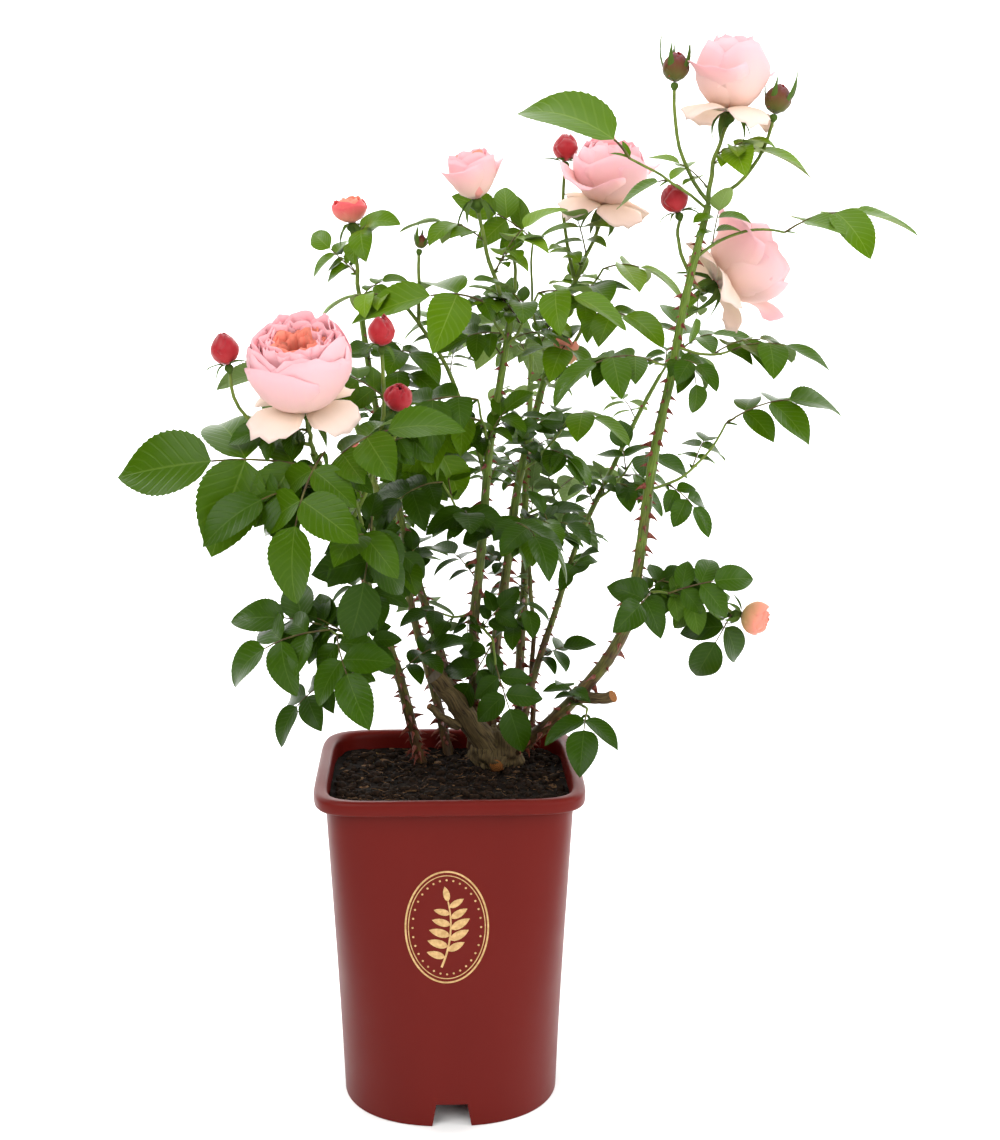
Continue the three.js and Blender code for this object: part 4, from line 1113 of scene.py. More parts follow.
# ---- the pot
@dataclass
class Pot:
    """The squared plant pot: a drafted wall on four feet, a rolled rim, and a printed sprig on its front.

    Attributes:
        height: Of the whole pot, mm.
        foot: Half width of the outer wall at the ground, mm.
        neck: Half width of the outer wall under the rim, mm.
        thickness: Of the wall, mm.
        floor: Height of the floor's upper side, mm.
        wall_top: Height where the wall meets the rim, mm.
        levels: Heights of the rings on the outer wall between its foot and its top, mm.
        rim: Half width and height of the rolled rim, from under its outer edge over to the inside, mm.
        powers: Squareness of the outline at foot and rim.
        notch: Height, top width and foot width of the four openings between the feet, mm.
        print_middle: Middle of the printed oval across and up, mm.
        print_half: Its half width and half height, mm.
    """

    height: float = 257.0
    foot: float = 82.5
    neck: float = 91.8
    thickness: float = 1.7
    floor: float = 22.0
    wall_top: float = 246.0
    levels: tuple[float, ...] = (0.4, 4, 10, 22, 40, 70, 100, 130, 160, 190, 220, 240)
    rim: tuple[Pair, ...] = (
        (97.6, 246.1), (98.9, 246.5), (99.7, 247.4), (100, 248.8), (100, 253.4), (99.7, 255), (98.9, 256.2),
        (97.6, 256.9), (96, 257), (93.6, 256.9), (91.9, 256.3), (90.8, 255.2), (90.2, 253.6), (90.1, 251),
    )
    powers: Pair = (2.3, 7.0)
    notch: Triple = (17.5, 23.0, 28.6)
    print_middle: Pair = (-3.0, 159.0)
    print_half: Pair = (30.0, 43.0)

    def half(self, z: Array) -> Array:
        """Half width of the outer wall at a height."""
        return self.foot + (self.neck - self.foot) * z / self.wall_top

    def power(self, z: Array) -> Array:
        """The superellipse power of the outline at a height."""
        return self.powers[0] + (self.powers[1] - self.powers[0]) * np.clip(z / self.height, 0, 1) ** 2

    def outline(self, half: Array, z: Array, angles: Array) -> Array:
        """Points of the squared outline: half width times (|cos|^n + |sin|^n)^(-1/n) along each angle.

        Args:
            half: Half widths, any shape that fits z and angles.
            z: Heights.
            angles: Angles round the axis.

        Returns:
            Points, with coordinates on the last axis.
        """
        n = self.power(z)
        reach = half * (np.abs(np.cos(angles)) ** n + np.abs(np.sin(angles)) ** n) ** (-1 / n)
        return np.stack(np.broadcast_arrays(reach * np.cos(angles), reach * np.sin(angles), z), -1)

    def foot_heights(self, angles: Array) -> Array:
        """Height of the wall's lower edge: 0 on the four feet, and up to the notch's top between them.

        Args:
            angles: Angles round the axis.

        Returns:
            A height for each, mm.
        """
        height, top, foot = self.notch
        aside = np.abs(np.sin(2 * angles)) * self.foot / 2
        return height * np.clip((foot / 2 - aside) / (foot / 2 - top / 2), 0, 1)

    def shell(self) -> Surface:
        """The pot as one closed form turned from pole to pole.

        Its rings run under the floor, down inside the skirt, up the outer wall, over the rolled rim, down the
        inner wall and in across the floor. The notches lift those of the skirt and of the wall's foot.

        Returns:
            The closed shell.
        """
        sides = np.linspace(self.notch[1] / 2, self.notch[2] / 2, 5)
        slope = np.arcsin(sides * 2 / self.foot) / 2
        near = np.concatenate([-slope[::-1], [-0.08, -0.04, 0, 0.04, 0.08], slope])
        plain = np.linspace(slope[-1], np.pi / 2 - slope[-1], 44)[1:-1]
        angles = (np.concatenate([near, plain]) + np.pi / 2 * np.arange(4)[:, None]).ravel()
        foot = self.foot_heights(angles)
        wall, floor = self.thickness, self.floor
        ceiling = floor - wall
        under = [(2.0, ceiling), (40.0, ceiling), (self.half(floor) - wall - 0.3, ceiling)]
        skirt = [(self.half(z) - wall, z) for z in (19.5, 0.4)]
        outer = [(self.half(z), z) for z in (*self.levels, self.wall_top)]
        inner = [(self.half(z) - wall, z) for z in (246, 235, 200, 150, 100, 60, 30, 23)]
        across = [(self.half(floor) - wall - 1.5, floor), (40.0, floor), (2.0, floor)]
        rings = []
        for part, lifted in ((under, 0), (skirt, 1), (outer, 1), (self.rim, 0), (inner, 0), (across, 0)):
            for half, z in part:
                lift = foot * max(0.0, 1 - z / ceiling) if lifted else 0.0
                rings.append(self.outline(half, z + lift, angles))
        return turned(np.stack(rings))

    def on_front(self, flat: Array) -> Array:
        """Lays points onto the front wall, their relief cut to ink's thickness.

        Args:
            flat: Points drawn across, out and up, mm.

        Returns:
            The same points on the wall.
        """
        x, out, z = flat[..., 0], flat[..., 1], flat[..., 2]
        n = self.power(z)
        wall = (self.half(z) ** n - np.abs(x) ** n) ** (1 / n)
        return np.stack([x, -wall - 0.08 + 0.12 * out, z], -1)

    def sprig(self) -> Surface:
        """The printed ornament, a plain garden motif: a leafy stem in a double oval, with dots round it.

        Returns:
            The raised ink.
        """
        (x, z), (a, b) = self.print_middle, self.print_half
        middle = np.array([x, 0.0, z])
        circle = np.linspace(0, 2 * np.pi, 97)
        outwards = np.array([[0.0, 1.0, 0.0]])
        drawing = []
        for share, width in ((1.0, 0.75), (0.93, 0.4)):
            path = middle + np.stack([a * share * np.cos(circle), 0 * circle, b * share * np.sin(circle)], -1)
            drawing.append(tubes(path[None], np.full((1, len(circle)), width), 6, across=outwards))
        stem = Sweep(middle + [-4, 0, -31], middle + [1, 0, 20], vector((4, 0, 0)))
        drawing.append(sweep_tubes([stem], [(0.8, 0.5)], 20, 6))
        leaves = BladeList()
        for k, share in enumerate(np.linspace(0.2, 0.86, 5)):
            for hand in (-1, 1):
                place = share + 0.05 * hand
                along = unit(0.45 * stem.heading(place) + hand * np.array([1.0, 0, 0.15]))
                leaves.add(stem.at(place), along, vector((0, -1, 0)), 17 - 5.5 * abs(share - 0.45) * 2, 0.01)
        leaves.add(stem.at(1.0), stem.heading(1.0), vector((0, -1, 0)), 12, 0.01)
        drawing.append(BladeShape(6, 0, 0.2, (0.7, 0.9), 0.0, 1.0, 0.0).lay(leaves))
        dots = np.linspace(0, 2 * np.pi, 33)[:-1]
        beads = middle + np.stack([a * 0.83 * np.cos(dots), 0 * dots, b * 0.85 * np.sin(dots)], -1)
        ends = np.stack([beads - [0, 0.6, 0], beads + [0, 0.6, 0]], 1)
        drawing.append(tubes(ends, np.full((32, 2), 0.8), 8))
        drawn = Surface.joined(drawing)
        drawn.points = self.on_front(drawn.points)
        drawn.slots = [np.zeros_like(s) for s in drawn.slots]
        return drawn

    def build(self) -> None:
        """Makes the pot and its print."""
        make_piece("pot_shell", self.shell(), [POT_RED], ["pot"])
        make_piece("printed_sprig", self.sprig(), [GOLD], [])


def sweep_tubes(sweeps: list[Sweep], radii: list[Pair], stations: int, sides: int) -> Surface:
    """Tapering tubes along sweeps, with the same number of stations on each.

    Args:
        sweeps: The lines.
        radii: Radius at each line's start and end, mm.
        stations: Rings on each tube.
        sides: Corners of a ring.

    Returns:
        All the tubes as one surface.
    """
    shares = np.linspace(0, 1, stations)
    paths = np.stack([sweep.at(shares) for sweep in sweeps])
    tapers = np.array(radii)
    return tubes(paths, tapers[:, :1] * (1 - shares) + tapers[:, 1:] * shares, sides)


# ---- the potting mix
@dataclass
class PottingMix:
    """The mix that fills the pot: a crumbly top with loose crumbs, bark chips and fibres lying on it.

    Attributes:
        pot: The pot that it fills.
        level: Height of its top, mm.
        clear: Gap between the filling and the wall, mm.
        crumbs: How many loose crumbs.
        chips: How many pale bark chips.
        fibres: How many fibres.
    """

    pot: Pot
    level: float = 242.0
    clear: float = 0.4
    crumbs: int = 1500
    chips: int = 170
    fibres: int = 190

    def height(self, places: Array) -> Array:
        """Height of the mix's top: level, a little higher at the edge, and lumpy.

        Args:
            places: Places across it, mm; only their first two coordinates count.

        Returns:
            A height for each, mm.
        """
        share = np.clip(np.linalg.norm(places[..., :2], axis=-1) / 95, 0, 1)
        flat = places * [1, 1, 0]
        return self.level - 1.2 + 2.2 * share**4 + 1.5 * relief(flat, 26, 3) + 0.7 * relief(flat, 7, 5, 2)

    def body(self) -> Surface:
        """The closed filling: rings up its side just inside the wall, then in across its lumpy top.

        Returns:
            The filling.
        """
        angles = np.linspace(0, 2 * np.pi, 161)[:-1]
        gap = self.pot.thickness + self.clear
        *sides, edge = (self.pot.outline(self.pot.half(z) - gap, np.full(len(angles), z), angles)
                        for z in (22.5, 90.0, 170.0, 236.0, 240.0))
        tops = [edge * [share, share, 1] for share in np.linspace(1, 0.02, 46)]
        for top in tops:
            top[:, 2] = self.height(top)
        return turned(np.stack([sides[0] * [0.02, 0.02, 1], *sides, *tops]))

    def scatter(self, count: int, seed: float) -> tuple[Array, Array]:
        """Places strewn evenly on the mix inside the rim, and four draws of chance for each.

        Args:
            count: How many places.
            seed: Picks them.

        Returns:
            (count, 3) places on the top, and (count, 4) draws from 0 to 1.
        """
        rows = np.arange(count, dtype=float)
        draws = np.stack([chance(seed + k, rows) for k in range(6)], -1)
        places = np.concatenate([(draws[:, :2] * 2 - 1) * 85.5, np.zeros((count, 1))], -1)
        corner = (np.abs(places[:, :2] / 86.5) ** 5).sum(-1) > 1
        places[corner] *= 0.8
        places[:, 2] = self.height(places)
        return places, draws[:, 2:]

    def lumps(self, count: int, seed: float, sizes: Pair, squash: float, slot: int) -> Surface:
        """Rough twenty-sided lumps lying half in the mix: an icosahedron stretched and turned for each.

        Its corners are three golden rectangles, and its faces all triples of corners that lie 2 apart.

        Args:
            count: How many.
            seed: Picks their places and shapes.
            sizes: Least and greatest radius, mm.
            squash: Height as a share of width.
            slot: Finish number.

        Returns:
            All the lumps as one surface.
        """
        golden = (1 + 5**0.5) / 2
        four = [[-1, golden, 0], [1, golden, 0], [-1, -golden, 0], [1, -golden, 0]]
        corners = np.concatenate([np.roll(four, k, axis=1) for k in range(3)])
        triples = np.array(list(combinations(range(12), 3)))
        edges = np.linalg.norm(corners[triples] - corners[np.roll(triples, 1, axis=1)], axis=-1)
        faces = triples[(edges < 2.1).all(1)]
        inward = np.linalg.det(corners[faces]) < 0
        faces[inward] = faces[inward, ::-1]
        corners = corners / 1.9
        places, draws = self.scatter(count, seed)
        size = sizes[0] + (sizes[1] - sizes[0]) * draws[:, 0] ** 3
        rough = 1 + 0.35 * (chance(seed + np.arange(count)[:, None], np.arange(12.0)) - 0.5)
        spans = size[:, None] * [1, 1, 0] + size[:, None] * [0, 0, squash]
        shapes = corners * rough[..., None] * spans[:, None]
        shapes[..., 0] *= 1 + 0.9 * draws[:, None, 1]
        angle = draws[:, None, 2] * CIRCLE
        x, y = shapes[..., 0], shapes[..., 1]
        spun = [x * np.cos(angle) - y * np.sin(angle), x * np.sin(angle) + y * np.cos(angle)]
        shapes = np.stack([*spun, shapes[..., 2] + 0.3 * x * (draws[:, None, 3] - 0.5)], -1)
        points = shapes + places[:, None] + (size * squash * 0.3)[:, None, None] * [0, 0, 1]
        all_faces = (faces[None] + (np.arange(count) * 12)[:, None, None]).reshape(-1, 3)
        return Surface(points.reshape(-1, 3), [all_faces], [np.zeros((len(all_faces), 3, 2))],
                       [np.full(len(all_faces), slot)])

    def fibre(self) -> Surface:
        """Thin fibres lying on the mix, each a bowed five-station thread.

        Returns:
            All the fibres as one surface.
        """
        places, draws = self.scatter(self.fibres, 61.0)
        angle = draws[:, 0] * CIRCLE
        heading = np.stack([np.cos(angle), np.sin(angle), 0.25 * (draws[:, 3] - 0.5)], -1)
        run = heading * (4 + 9 * draws[:, 1:2])
        bow = np.stack([-run[:, 1], run[:, 0], 3 + 0 * angle], -1) * 0.25
        t = np.linspace(-0.5, 0.5, 5)[:, None]
        paths = places[:, None] + run[:, None] * t + bow[:, None] * (0.25 - t**2) + [0, 0, 0.9]
        return tubes(paths, np.full((self.fibres, 5), 0.28), 4, 1)

    def build(self) -> None:
        """Makes the filling, the crumbs, and the chips and fibres."""
        make_piece("potting_mix_filling", self.body(), [MIX], ["soil"])
        crumbs = self.lumps(self.crumbs, 11.0, (0.8, 4.2), 0.75, 0)
        chips = self.lumps(self.chips, 29.0, (1.0, 3.6), 0.25, 1)
        strewn = Surface.joined([crumbs, chips, self.fibre()])
        make_piece("loose_crumbs", strewn, [CRUMB, CHIP], [])


# ---- the plant's lines
@dataclass
class Framework:
    """The lines that the plant grows on.

    Attributes:
        limbs: Each bough's line, by name.
        sprays: Every spray, those of the back canes included.
        stems: Each spray's line, by name.
        twigs: A line for each flower that has its own twig.
    """

    limbs: dict[str, Sweep] = field(default_factory=dict)
    sprays: list[Spray] = field(default_factory=list)
    stems: dict[str, Sweep] = field(default_factory=dict)
    twigs: list[Sweep] = field(default_factory=list)

    def grow(self) -> None:
        """Lays every limb, then every stem from its carrier, then every twig from its stem."""
        for k, limb in enumerate(LIMBS):
            ends = vector(limb.foot), vector(limb.tip)
            self.limbs[limb.name] = Sweep(*ends, vector(limb.bow), WANDER["limb"], k)
        self.sprays = [*SPRAYS, *self.back_sprays()]
        for k, spray in enumerate(self.sprays):
            root = self.limbs[spray.on].at(spray.at)
            stem = Sweep(root, vector(spray.to), vector(spray.bow), WANDER["stem"], k)
            self.stems[spray.name] = stem
            for bloom in spray.flowers:
                if bloom.to:
                    ends = stem.at(bloom.start), vector(bloom.to)
                    self.twigs.append(Sweep(*ends, vector(bloom.bow), WANDER["twig"], k))

    def back_sprays(self) -> list[Spray]:
        """Two short sprays on each back cane, each pointing outwards and a little up.

        Returns:
            Their rows, like those of the table.
        """
        rows = []
        for cane, shares, turn in (("back_left_cane", (0.62, 1.0), 95), ("back_right_cane", (0.6, 1.0), 40)):
            for k, share in enumerate(shares):
                around = math.radians(turn + 75 * k)
                out = (math.cos(around), math.sin(around))
                to = self.limbs[cane].at(share) + 42 * vector((*out, 0.45))
                name = cane.replace("cane", "spray_") + str(k + 1)
                lead = (*out, 0.3)
                rows.append(Spray(name, cane, tuple(to), 3, 46, share, (0, 0, -4), 3, turn, BACK, lead))
        return rows


# ---- wood
@dataclass
class Wood:
    """The graft union, the old trunk with its stubs, and the canes with their prickles.

    Attributes:
        lines: What it grows on.
        ring_gap: Distance between the rings of a limb, mm.
        sides: Corners of a limb's ring.
        bud_gap: Distance between the swellings where leaves once sat, mm.
        bud_swelling: How much thicker the limb is there, as a share of its radius.
        foot_swelling: How much thicker it is at its foot.
        easings: How often the bend between two limbs of one cane is smoothed.
        ridges: Depth of the bark's ridges on old wood and on canes, mm.
        prickle_gap: Distance along a cane from one prickle to the next, mm.
    """

    lines: Framework
    ring_gap: float = 2.6
    sides: int = 18
    bud_gap: float = 31.0
    bud_swelling: float = 0.13
    foot_swelling: float = 0.2
    easings: int = 60
    ridges: Pair = (0.8, 0.22)
    prickle_gap: float = 3.2

    def limb(self, limb: Limb, number: int) -> Surface:
        """A limb as a tube: radius tapers, swells at each old bud, and is roughened by ridges along it.

        Where a limb carries on another, both are drawn as one, and the bend between them is eased by
        averaging each point with its neighbours, over and over.

        Args:
            limb: Its row.
            number: Its place in the table, which picks its ridges.

        Returns:
            The closed limb.
        """
        path, taper = self.drawn(limb)
        upper = {row.name: row for row in LIMBS}.get(CARRIED_ON.get(limb.name, ""))
        if upper:
            path, taper = (np.concatenate([a, b[1:]]) for a, b in zip((path, taper), self.drawn(upper)))
            for _ in range(self.easings):
                path[1:-1] = (path[:-2] + 2 * path[1:-1] + path[2:]) / 4
        run = np.concatenate([[0.0], np.linalg.norm(np.diff(path, axis=0), axis=1).cumsum()])
        bud = (run + 9 * number) % self.bud_gap - self.bud_gap / 2
        swelling = self.bud_swelling * np.exp(-(bud**2) / 5)
        swollen = taper * (1 + swelling + self.foot_swelling * np.exp(-run / 6))
        angles = 2 * np.pi * np.arange(self.sides) / self.sides
        skin = np.stack(np.broadcast_arrays(5 * np.cos(angles), 5 * np.sin(angles), 0.22 * run[:, None]), -1)
        rough = relief(skin, 9, 7 + number) * self.ridges[limb.name not in OLD_WOOD]
        radii = swollen[:, None] + rough
        return tubes(path[None], radii[None], self.sides, 0, 1 if limb.name in SAWN_ENDS else None)

    def drawn(self, limb: Limb) -> tuple[Array, Array]:
        """A limb as a line.

        Args:
            limb: Its row.

        Returns:
            Its middle line, one point for each ring, and its plain radius there.
        """
        line = self.lines.limbs[limb.name]
        t = np.linspace(0, 1, max(12, int(line.length() / self.ring_gap)))
        return line.at(t), limb.radii[0] + (limb.radii[1] - limb.radii[0]) * t

    def union(self) -> Surface:
        """The graft: an ellipsoid with the swellings of old cuts, its foot sunk in the mix.

        Returns:
            The closed union.
        """
        down = np.linspace(np.pi * 0.985, np.pi * 0.015, 44)[:, None]
        around = np.linspace(0, 2 * np.pi, 65)[:-1]
        ball = np.stack([np.sin(down) * np.cos(around), np.sin(down) * np.sin(around),
                         np.cos(down) + 0 * around], -1)
        x, y, z = ball[..., 0], ball[..., 1], ball[..., 2]
        lump = 1 + 0.16 * np.sin(3 * x + 4 * y) * np.cos(5 * z + 2 * x) + 0.1 * relief(ball * 22, 13, 21, 4)
        points = ball * lump[..., None] * [21, 25, 20] + [38, 50, 251]
        points[..., 2] = np.maximum(points[..., 2], 237)
        return turned(points)

    def wound(self) -> Surface:
        """The old sawn face low on the union's front, its rim ragged and rounded over.

        Returns:
            The short stump that ends in it.
        """
        line = Sweep(vector((41, 42, 252)), vector((37, 23, 247)), vector((0, 0, 0)))
        t = np.linspace(0, 1, 10)
        angles = 2 * np.pi * np.arange(28) / 28
        skin = np.stack(np.broadcast_arrays(8 * np.cos(angles), 8 * np.sin(angles), 9 * t[:, None]), -1)
        radii = 7.4 - 1.8 * t[:, None] ** 8 + 1.3 * relief(skin, 8, 4)
        return tubes(line.at(t)[None], radii[None], 28, 0, 1)

    def prickles(self) -> Surface:
        """Hooked prickles round every cane, closer and longer low down.

        Each is a flattened cone: out from the bark along the radius, then bent down towards the foot by the
        square of its run. Its foot is longer along the cane than across.

        Returns:
            All the prickles as one surface.
        """
        roots, outs, downs, sizes = [], [], [], []
        for number, limb in enumerate(LIMBS):
            if limb.name in OLD_WOOD:
                continue
            line = self.lines.limbs[limb.name]
            count = int(line.length() / self.prickle_gap)
            rows = np.arange(count)
            t = 0.05 + 0.93 * (rows / count) ** (1.5 if line.start[2] < 300 else 1.0)
            heading = line.heading(t)
            first = square_to(np.broadcast_to([1.0, 0, 0], heading.shape), heading)
            angle = 2.4 * rows + 1.3 * number + chance(number, rows)
            out = np.cos(angle)[:, None] * first + np.sin(angle)[:, None] * np.cross(heading, first)
            taper = limb.radii[0] + (limb.radii[1] - limb.radii[0]) * t
            roots.append(line.at(t) + out * (taper - 0.5)[:, None])
            outs.append(out)
            downs.append(-heading)
            thick = np.clip(taper / 3.8, 0.55, 1.15)
            sizes.append((3.6 + 5.4 * chance(number + 50, rows) ** 1.4) * thick)
        root, out, down, size = (np.concatenate(c) for c in (roots, outs, downs, sizes))
        t = np.array([0, 0.3, 0.62, 1.0])[:, None]
        paths = root[:, None] + size[:, None, None] * (out[:, None] * t + down[:, None] * 0.42 * t**2)
        angles = 2 * np.pi * np.arange(6) / 6
        oval = np.hypot(1.75 * np.cos(angles), 0.8 * np.sin(angles))
        radii = size[:, None, None] * np.array([0.2, 0.12, 0.06, 0.008])[:, None] * oval
        return tubes(paths, radii, 6, across=down)

    def build(self) -> None:
        """Makes the old wood, the canes and the prickles."""
        old = [self.limb(limb, k) for k, limb in enumerate(LIMBS) if limb.name in OLD_WOOD]
        drawn = {*OLD_WOOD, *CARRIED_ON.values()}
        young = [self.limb(limb, k) for k, limb in enumerate(LIMBS) if limb.name not in drawn]
        names = [limb.name for limb in LIMBS]
        make_piece("old_wood", Surface.joined([*old, self.union(), self.wound()]), [OLD_BARK, SAWN],
                   ["graft_union", *OLD_WOOD])
        make_piece("canes", Surface.joined(young), [CANE_BARK, SAWN],
                   [name for name in names if name not in OLD_WOOD])
        make_piece("prickles", self.prickles(), [PRICKLE], [])


# ---- leaves
@dataclass
class Foliage:
    """Every compound leaf: those of the solids' sprays, and smaller ones on the same stems and canes.

    Attributes:
        lines: What it grows on.
        leaflet: Shape of a large leaflet.
        small: Shape of a small one, with fewer stretches.
        stipule: Shape of the two wings at a leaf's foot.
        large: Length from which a leaflet counts as large, mm.
        lean: Angle between a leaf's stalk and its stem, degrees.
        pair_sizes: Leaflets of each pair, from the leaf's end, as shares of its end leaflet.
        pair_gap: Distance between the pairs as a share of the end leaflet.
        cane_gap: Distance between the leaves of a cane, mm.
        bloom_gap: How far the smaller leaves keep from blooms and buds, mm.
        regions: Across positions, mm, that part the plant into pieces.
    """

    lines: Framework
    leaflet: BladeShape = BladeShape(8, 2, 0.29, (0.6, 0.98), 0.26, 0.5, 0.014)
    small: BladeShape = BladeShape(5, 2, 0.3, (0.6, 0.95), 0.26, 0.4, 0.014)
    stipule: BladeShape = BladeShape(4, 0, 0.16, (0.4, 0.8), 0.2, 0.4, 0.0)
    large: float = 30.0
    lean: float = 58.0
    pair_sizes: Triple = (0.9, 0.72, 0.55)
    pair_gap: float = 0.42
    cane_gap: float = 36.0
    bloom_gap: float = 14.0
    regions: Pair = (-12.0, 98.0)
    blades: dict[tuple[int, str], BladeList] = field(default_factory=dict)
    stalks: dict[int, list[tuple[Sweep, float]]] = field(default_factory=dict)

    def region(self, across: float) -> int:
        """The number of the region that holds a position across the plant."""
        return int(np.searchsorted(self.regions, across))

    def leaf_direction(self, tangent: Array, turn: float) -> Array:
        """Direction of the leaf at one angle round a stem, leaning away from it.

        Args:
            tangent: Unit direction of the stem.
            turn: Angle round it, degrees.

        Returns:
            The unit direction.
        """
        right = vector((1, 0, 0)) - tangent * tangent[0]
        if right @ right < 0.1:
            right = vector((0, 0, 1)) - tangent * tangent[2]
        right = unit(right)
        back = np.cross(tangent, right)
        lean, turn = math.radians(self.lean), math.radians(turn)
        return math.cos(lean) * tangent + math.sin(lean) * (math.cos(turn) * right + math.sin(turn) * back)

    def compound(self, part: int, root: Array, along: Array, face: Array, length: float,
                 leaflets: int, seed: float) -> None:
        """Adds one compound leaf: its stalk, leaflets in pairs and one at the end, and its stipules.

        Args:
            part: The region that it belongs to.
            root: Where it leaves its stem, mm.
            along: Unit direction of its stalk.
            face: The way it looks.
            length: Of its end leaflet, mm.
            leaflets: 1, 3, 5 or 7.
            seed: Of its chances.
        """
        pairs = (leaflets - 1) // 2
        reach = length * (0.62 + self.pair_gap * (pairs - 1))
        stalk = Sweep(root, root + along * reach, face * 0.1 * reach)
        self.stalks.setdefault(part, []).append((stalk, length))
        kind = "leaflet" if length >= self.large else "small"
        blades = self.blades.setdefault((part, kind), BladeList())
        # The green is picked by height: partly the leaf's age, partly painted shade low down and painted
        # sheen high up.
        green = self.green(root[2], seed)
        for k in range(pairs):
            share = 1 - (0.3 + self.pair_gap * k) * length / reach
            joint, tangent = stalk.at(share), stalk.heading(share)
            normal = square_to(face, tangent)
            side = np.cross(normal, tangent)
            for hand in (-1, 1):
                swing = math.radians(58 + 16 * chance(seed, 10 * k + hand))
                droop = 0.1 + 0.25 * chance(seed, 40 + 10 * k + hand)
                out = unit(math.cos(swing) * tangent + hand * math.sin(swing) * side - droop * normal)
                size = length * self.pair_sizes[k] * (0.94 + 0.12 * chance(seed, 70 + k * 3 + hand))
                self.blade(blades, joint + 0.6 * hand * side, out, face, size, green, seed + 3 * k + hand)
        self.blade(blades, stalk.at(1.0), stalk.heading(1.0), face, length, green, seed + 0.5)
        wings = self.blades.setdefault((part, "stipule"), BladeList())
        for hand in (-1, 1):
            aside = unit(along + 0.55 * hand * np.cross(square_to(face, along), along))
            wings.add(root, aside, face, 3.5 + 0.14 * length, 0.5, 0, 1, green)

    def blade(self, blades: BladeList, root: Array, along: Array, face: Array, length: float,
              green: int, seed: float) -> None:
        """Adds one leaflet, with its own curl, twist, width and slight turn.

        Args:
            blades: Where it is added.
            root: Where it starts, mm.
            along: Unit direction of its midrib.
            face: The way its upper side looks.
            length: Of the leaflet, mm.
            green: Finish number of its upper side.
            seed: Of its chances.
        """
        normal = unit(square_to(face, along) + 0.22 * (vector([chance(seed, k) for k in (3, 4, 5)]) - 0.5))
        bend = 0.25 + 0.7 * chance(seed, 6)
        twist = 0.2 * (chance(seed, 7) - 0.5)
        blades.add(root, along, normal, length, bend, twist, 0.92 + 0.2 * chance(seed, 8), green)

    def green(self, height: float, seed: float) -> int:
        """The finish number of a leaf's upper side: deeper greens low down, younger ones high up. Besides the
        leaves' age, this paints shade onto the low leaves inside the bush and a lighter sheen onto the high
        ones.
        """
        # Height darkens the low leaves as painted shade and lightens the high ones as painted sheen, besides
        # setting their age.
        age = (height - 280) / 105 + 2.2 * (chance(seed, 31) - 0.4)
        return 2 * int(np.clip(age, 0, len(GREENS_AGE_AND_SHADE) - 1))

    def spray_leaves(self, spray: Spray, seed: int) -> None:
        """Sets a spray's leaves round its stem by the solids' own rule.

        Args:
            spray: Its row.
            seed: Of its chances.
        """
        stem = self.lines.stems[spray.name]
        part = self.region(spray.to[0])
        look = unit(vector(spray.face.value))
        besides = max(1, spray.leaves - (1 if spray.lead else 0))
        for k in range(spray.leaves):
            leads = spray.lead is not None and k == spray.leaves - 1
            share = 1.0 if leads else 0.35 + 0.57 * (k + 0.5) / besides
            if leads:
                along = unit(vector(spray.lead))
            else:
                along = self.leaf_direction(stem.heading(share), spray.turn + LEAF_STEP * k)
            face = unit(look + [0.5 * (chance(seed, k) - 0.5), 0.4 * (chance(seed, k + 20) - 0.5), 0])
            length = spray.leaflet * (1.0 if leads else 0.82 + 0.2 * chance(seed, k + 60))
            self.compound(part, stem.at(share), along, face, length, spray.leaflets, seed + k)

    def cane_leaves(self, cane: str, number: int) -> None:
        """Sets smaller leaves along a cane, clear of the blooms.

        Args:
            cane: Its name.
            number: Its place among the leafy limbs, which picks its chances.
        """
        line = self.lines.limbs[cane]
        count = int(line.length() * 0.66 / self.cane_gap)
        for k in range(count):
            share = 0.32 + 0.64 * (k + chance(number, k)) / count
            seed = 100.0 + 20 * number + k
            along = self.leaf_direction(line.heading(share), LEAF_STEP * k + 70 * number)
            root = line.at(share)
            length = 21 + 13 * chance(seed, 1)
            if self.clear(root + along * 1.5 * length):
                face = unit(along * [0.5, 0.5, 0] + [0, -0.25, 0.9])
                self.compound(self.region(root[0]), root, along, face, length, 5, seed)

    def stem_leaves(self, spray: Spray, number: int) -> None:
        """Sets one or two small leaves low on a spray's stem.

        Args:
            spray: Its row.
            number: Its place in the table, which picks its chances.
        """
        stem = self.lines.stems[spray.name]
        single = spray.leaflets == 1
        for k in range(1 if single or stem.length() < 45 else 2):
            share, seed = 0.5 if single else 0.2 + 0.3 * k, 400.0 + 7 * number + k
            along = self.leaf_direction(stem.heading(share), spray.turn + 200 + LEAF_STEP * k)
            length = 0.46 * spray.leaflet if single else min(0.62 * spray.leaflet, 26.0)
            if self.clear(stem.at(share) + along * 1.5 * length):
                face = unit(vector(spray.face.value) + along * 0.3)
                part = self.region(spray.to[0])
                self.compound(part, stem.at(share), along, face, length, 1 if single else 5, seed)

    def clear(self, place: Array) -> bool:
        """Whether a place lies clear of every bloom and bud.

        Args:
            place: Where a leaf would end, mm.

        Returns:
            True where no bloom is near.
        """
        for spray in self.lines.sprays:
            for bloom in spray.flowers:
                shape = bloom.kind.value
                if shape:
                    middle = vector(bloom.to or spray.to) + 0.55 * shape.height * unit(vector(bloom.axis))
                    around = max(shape.radius + self.bloom_gap, 0.8 * shape.guard_reach)
                    if np.linalg.norm(place - middle) < around:
                        return False
        return True

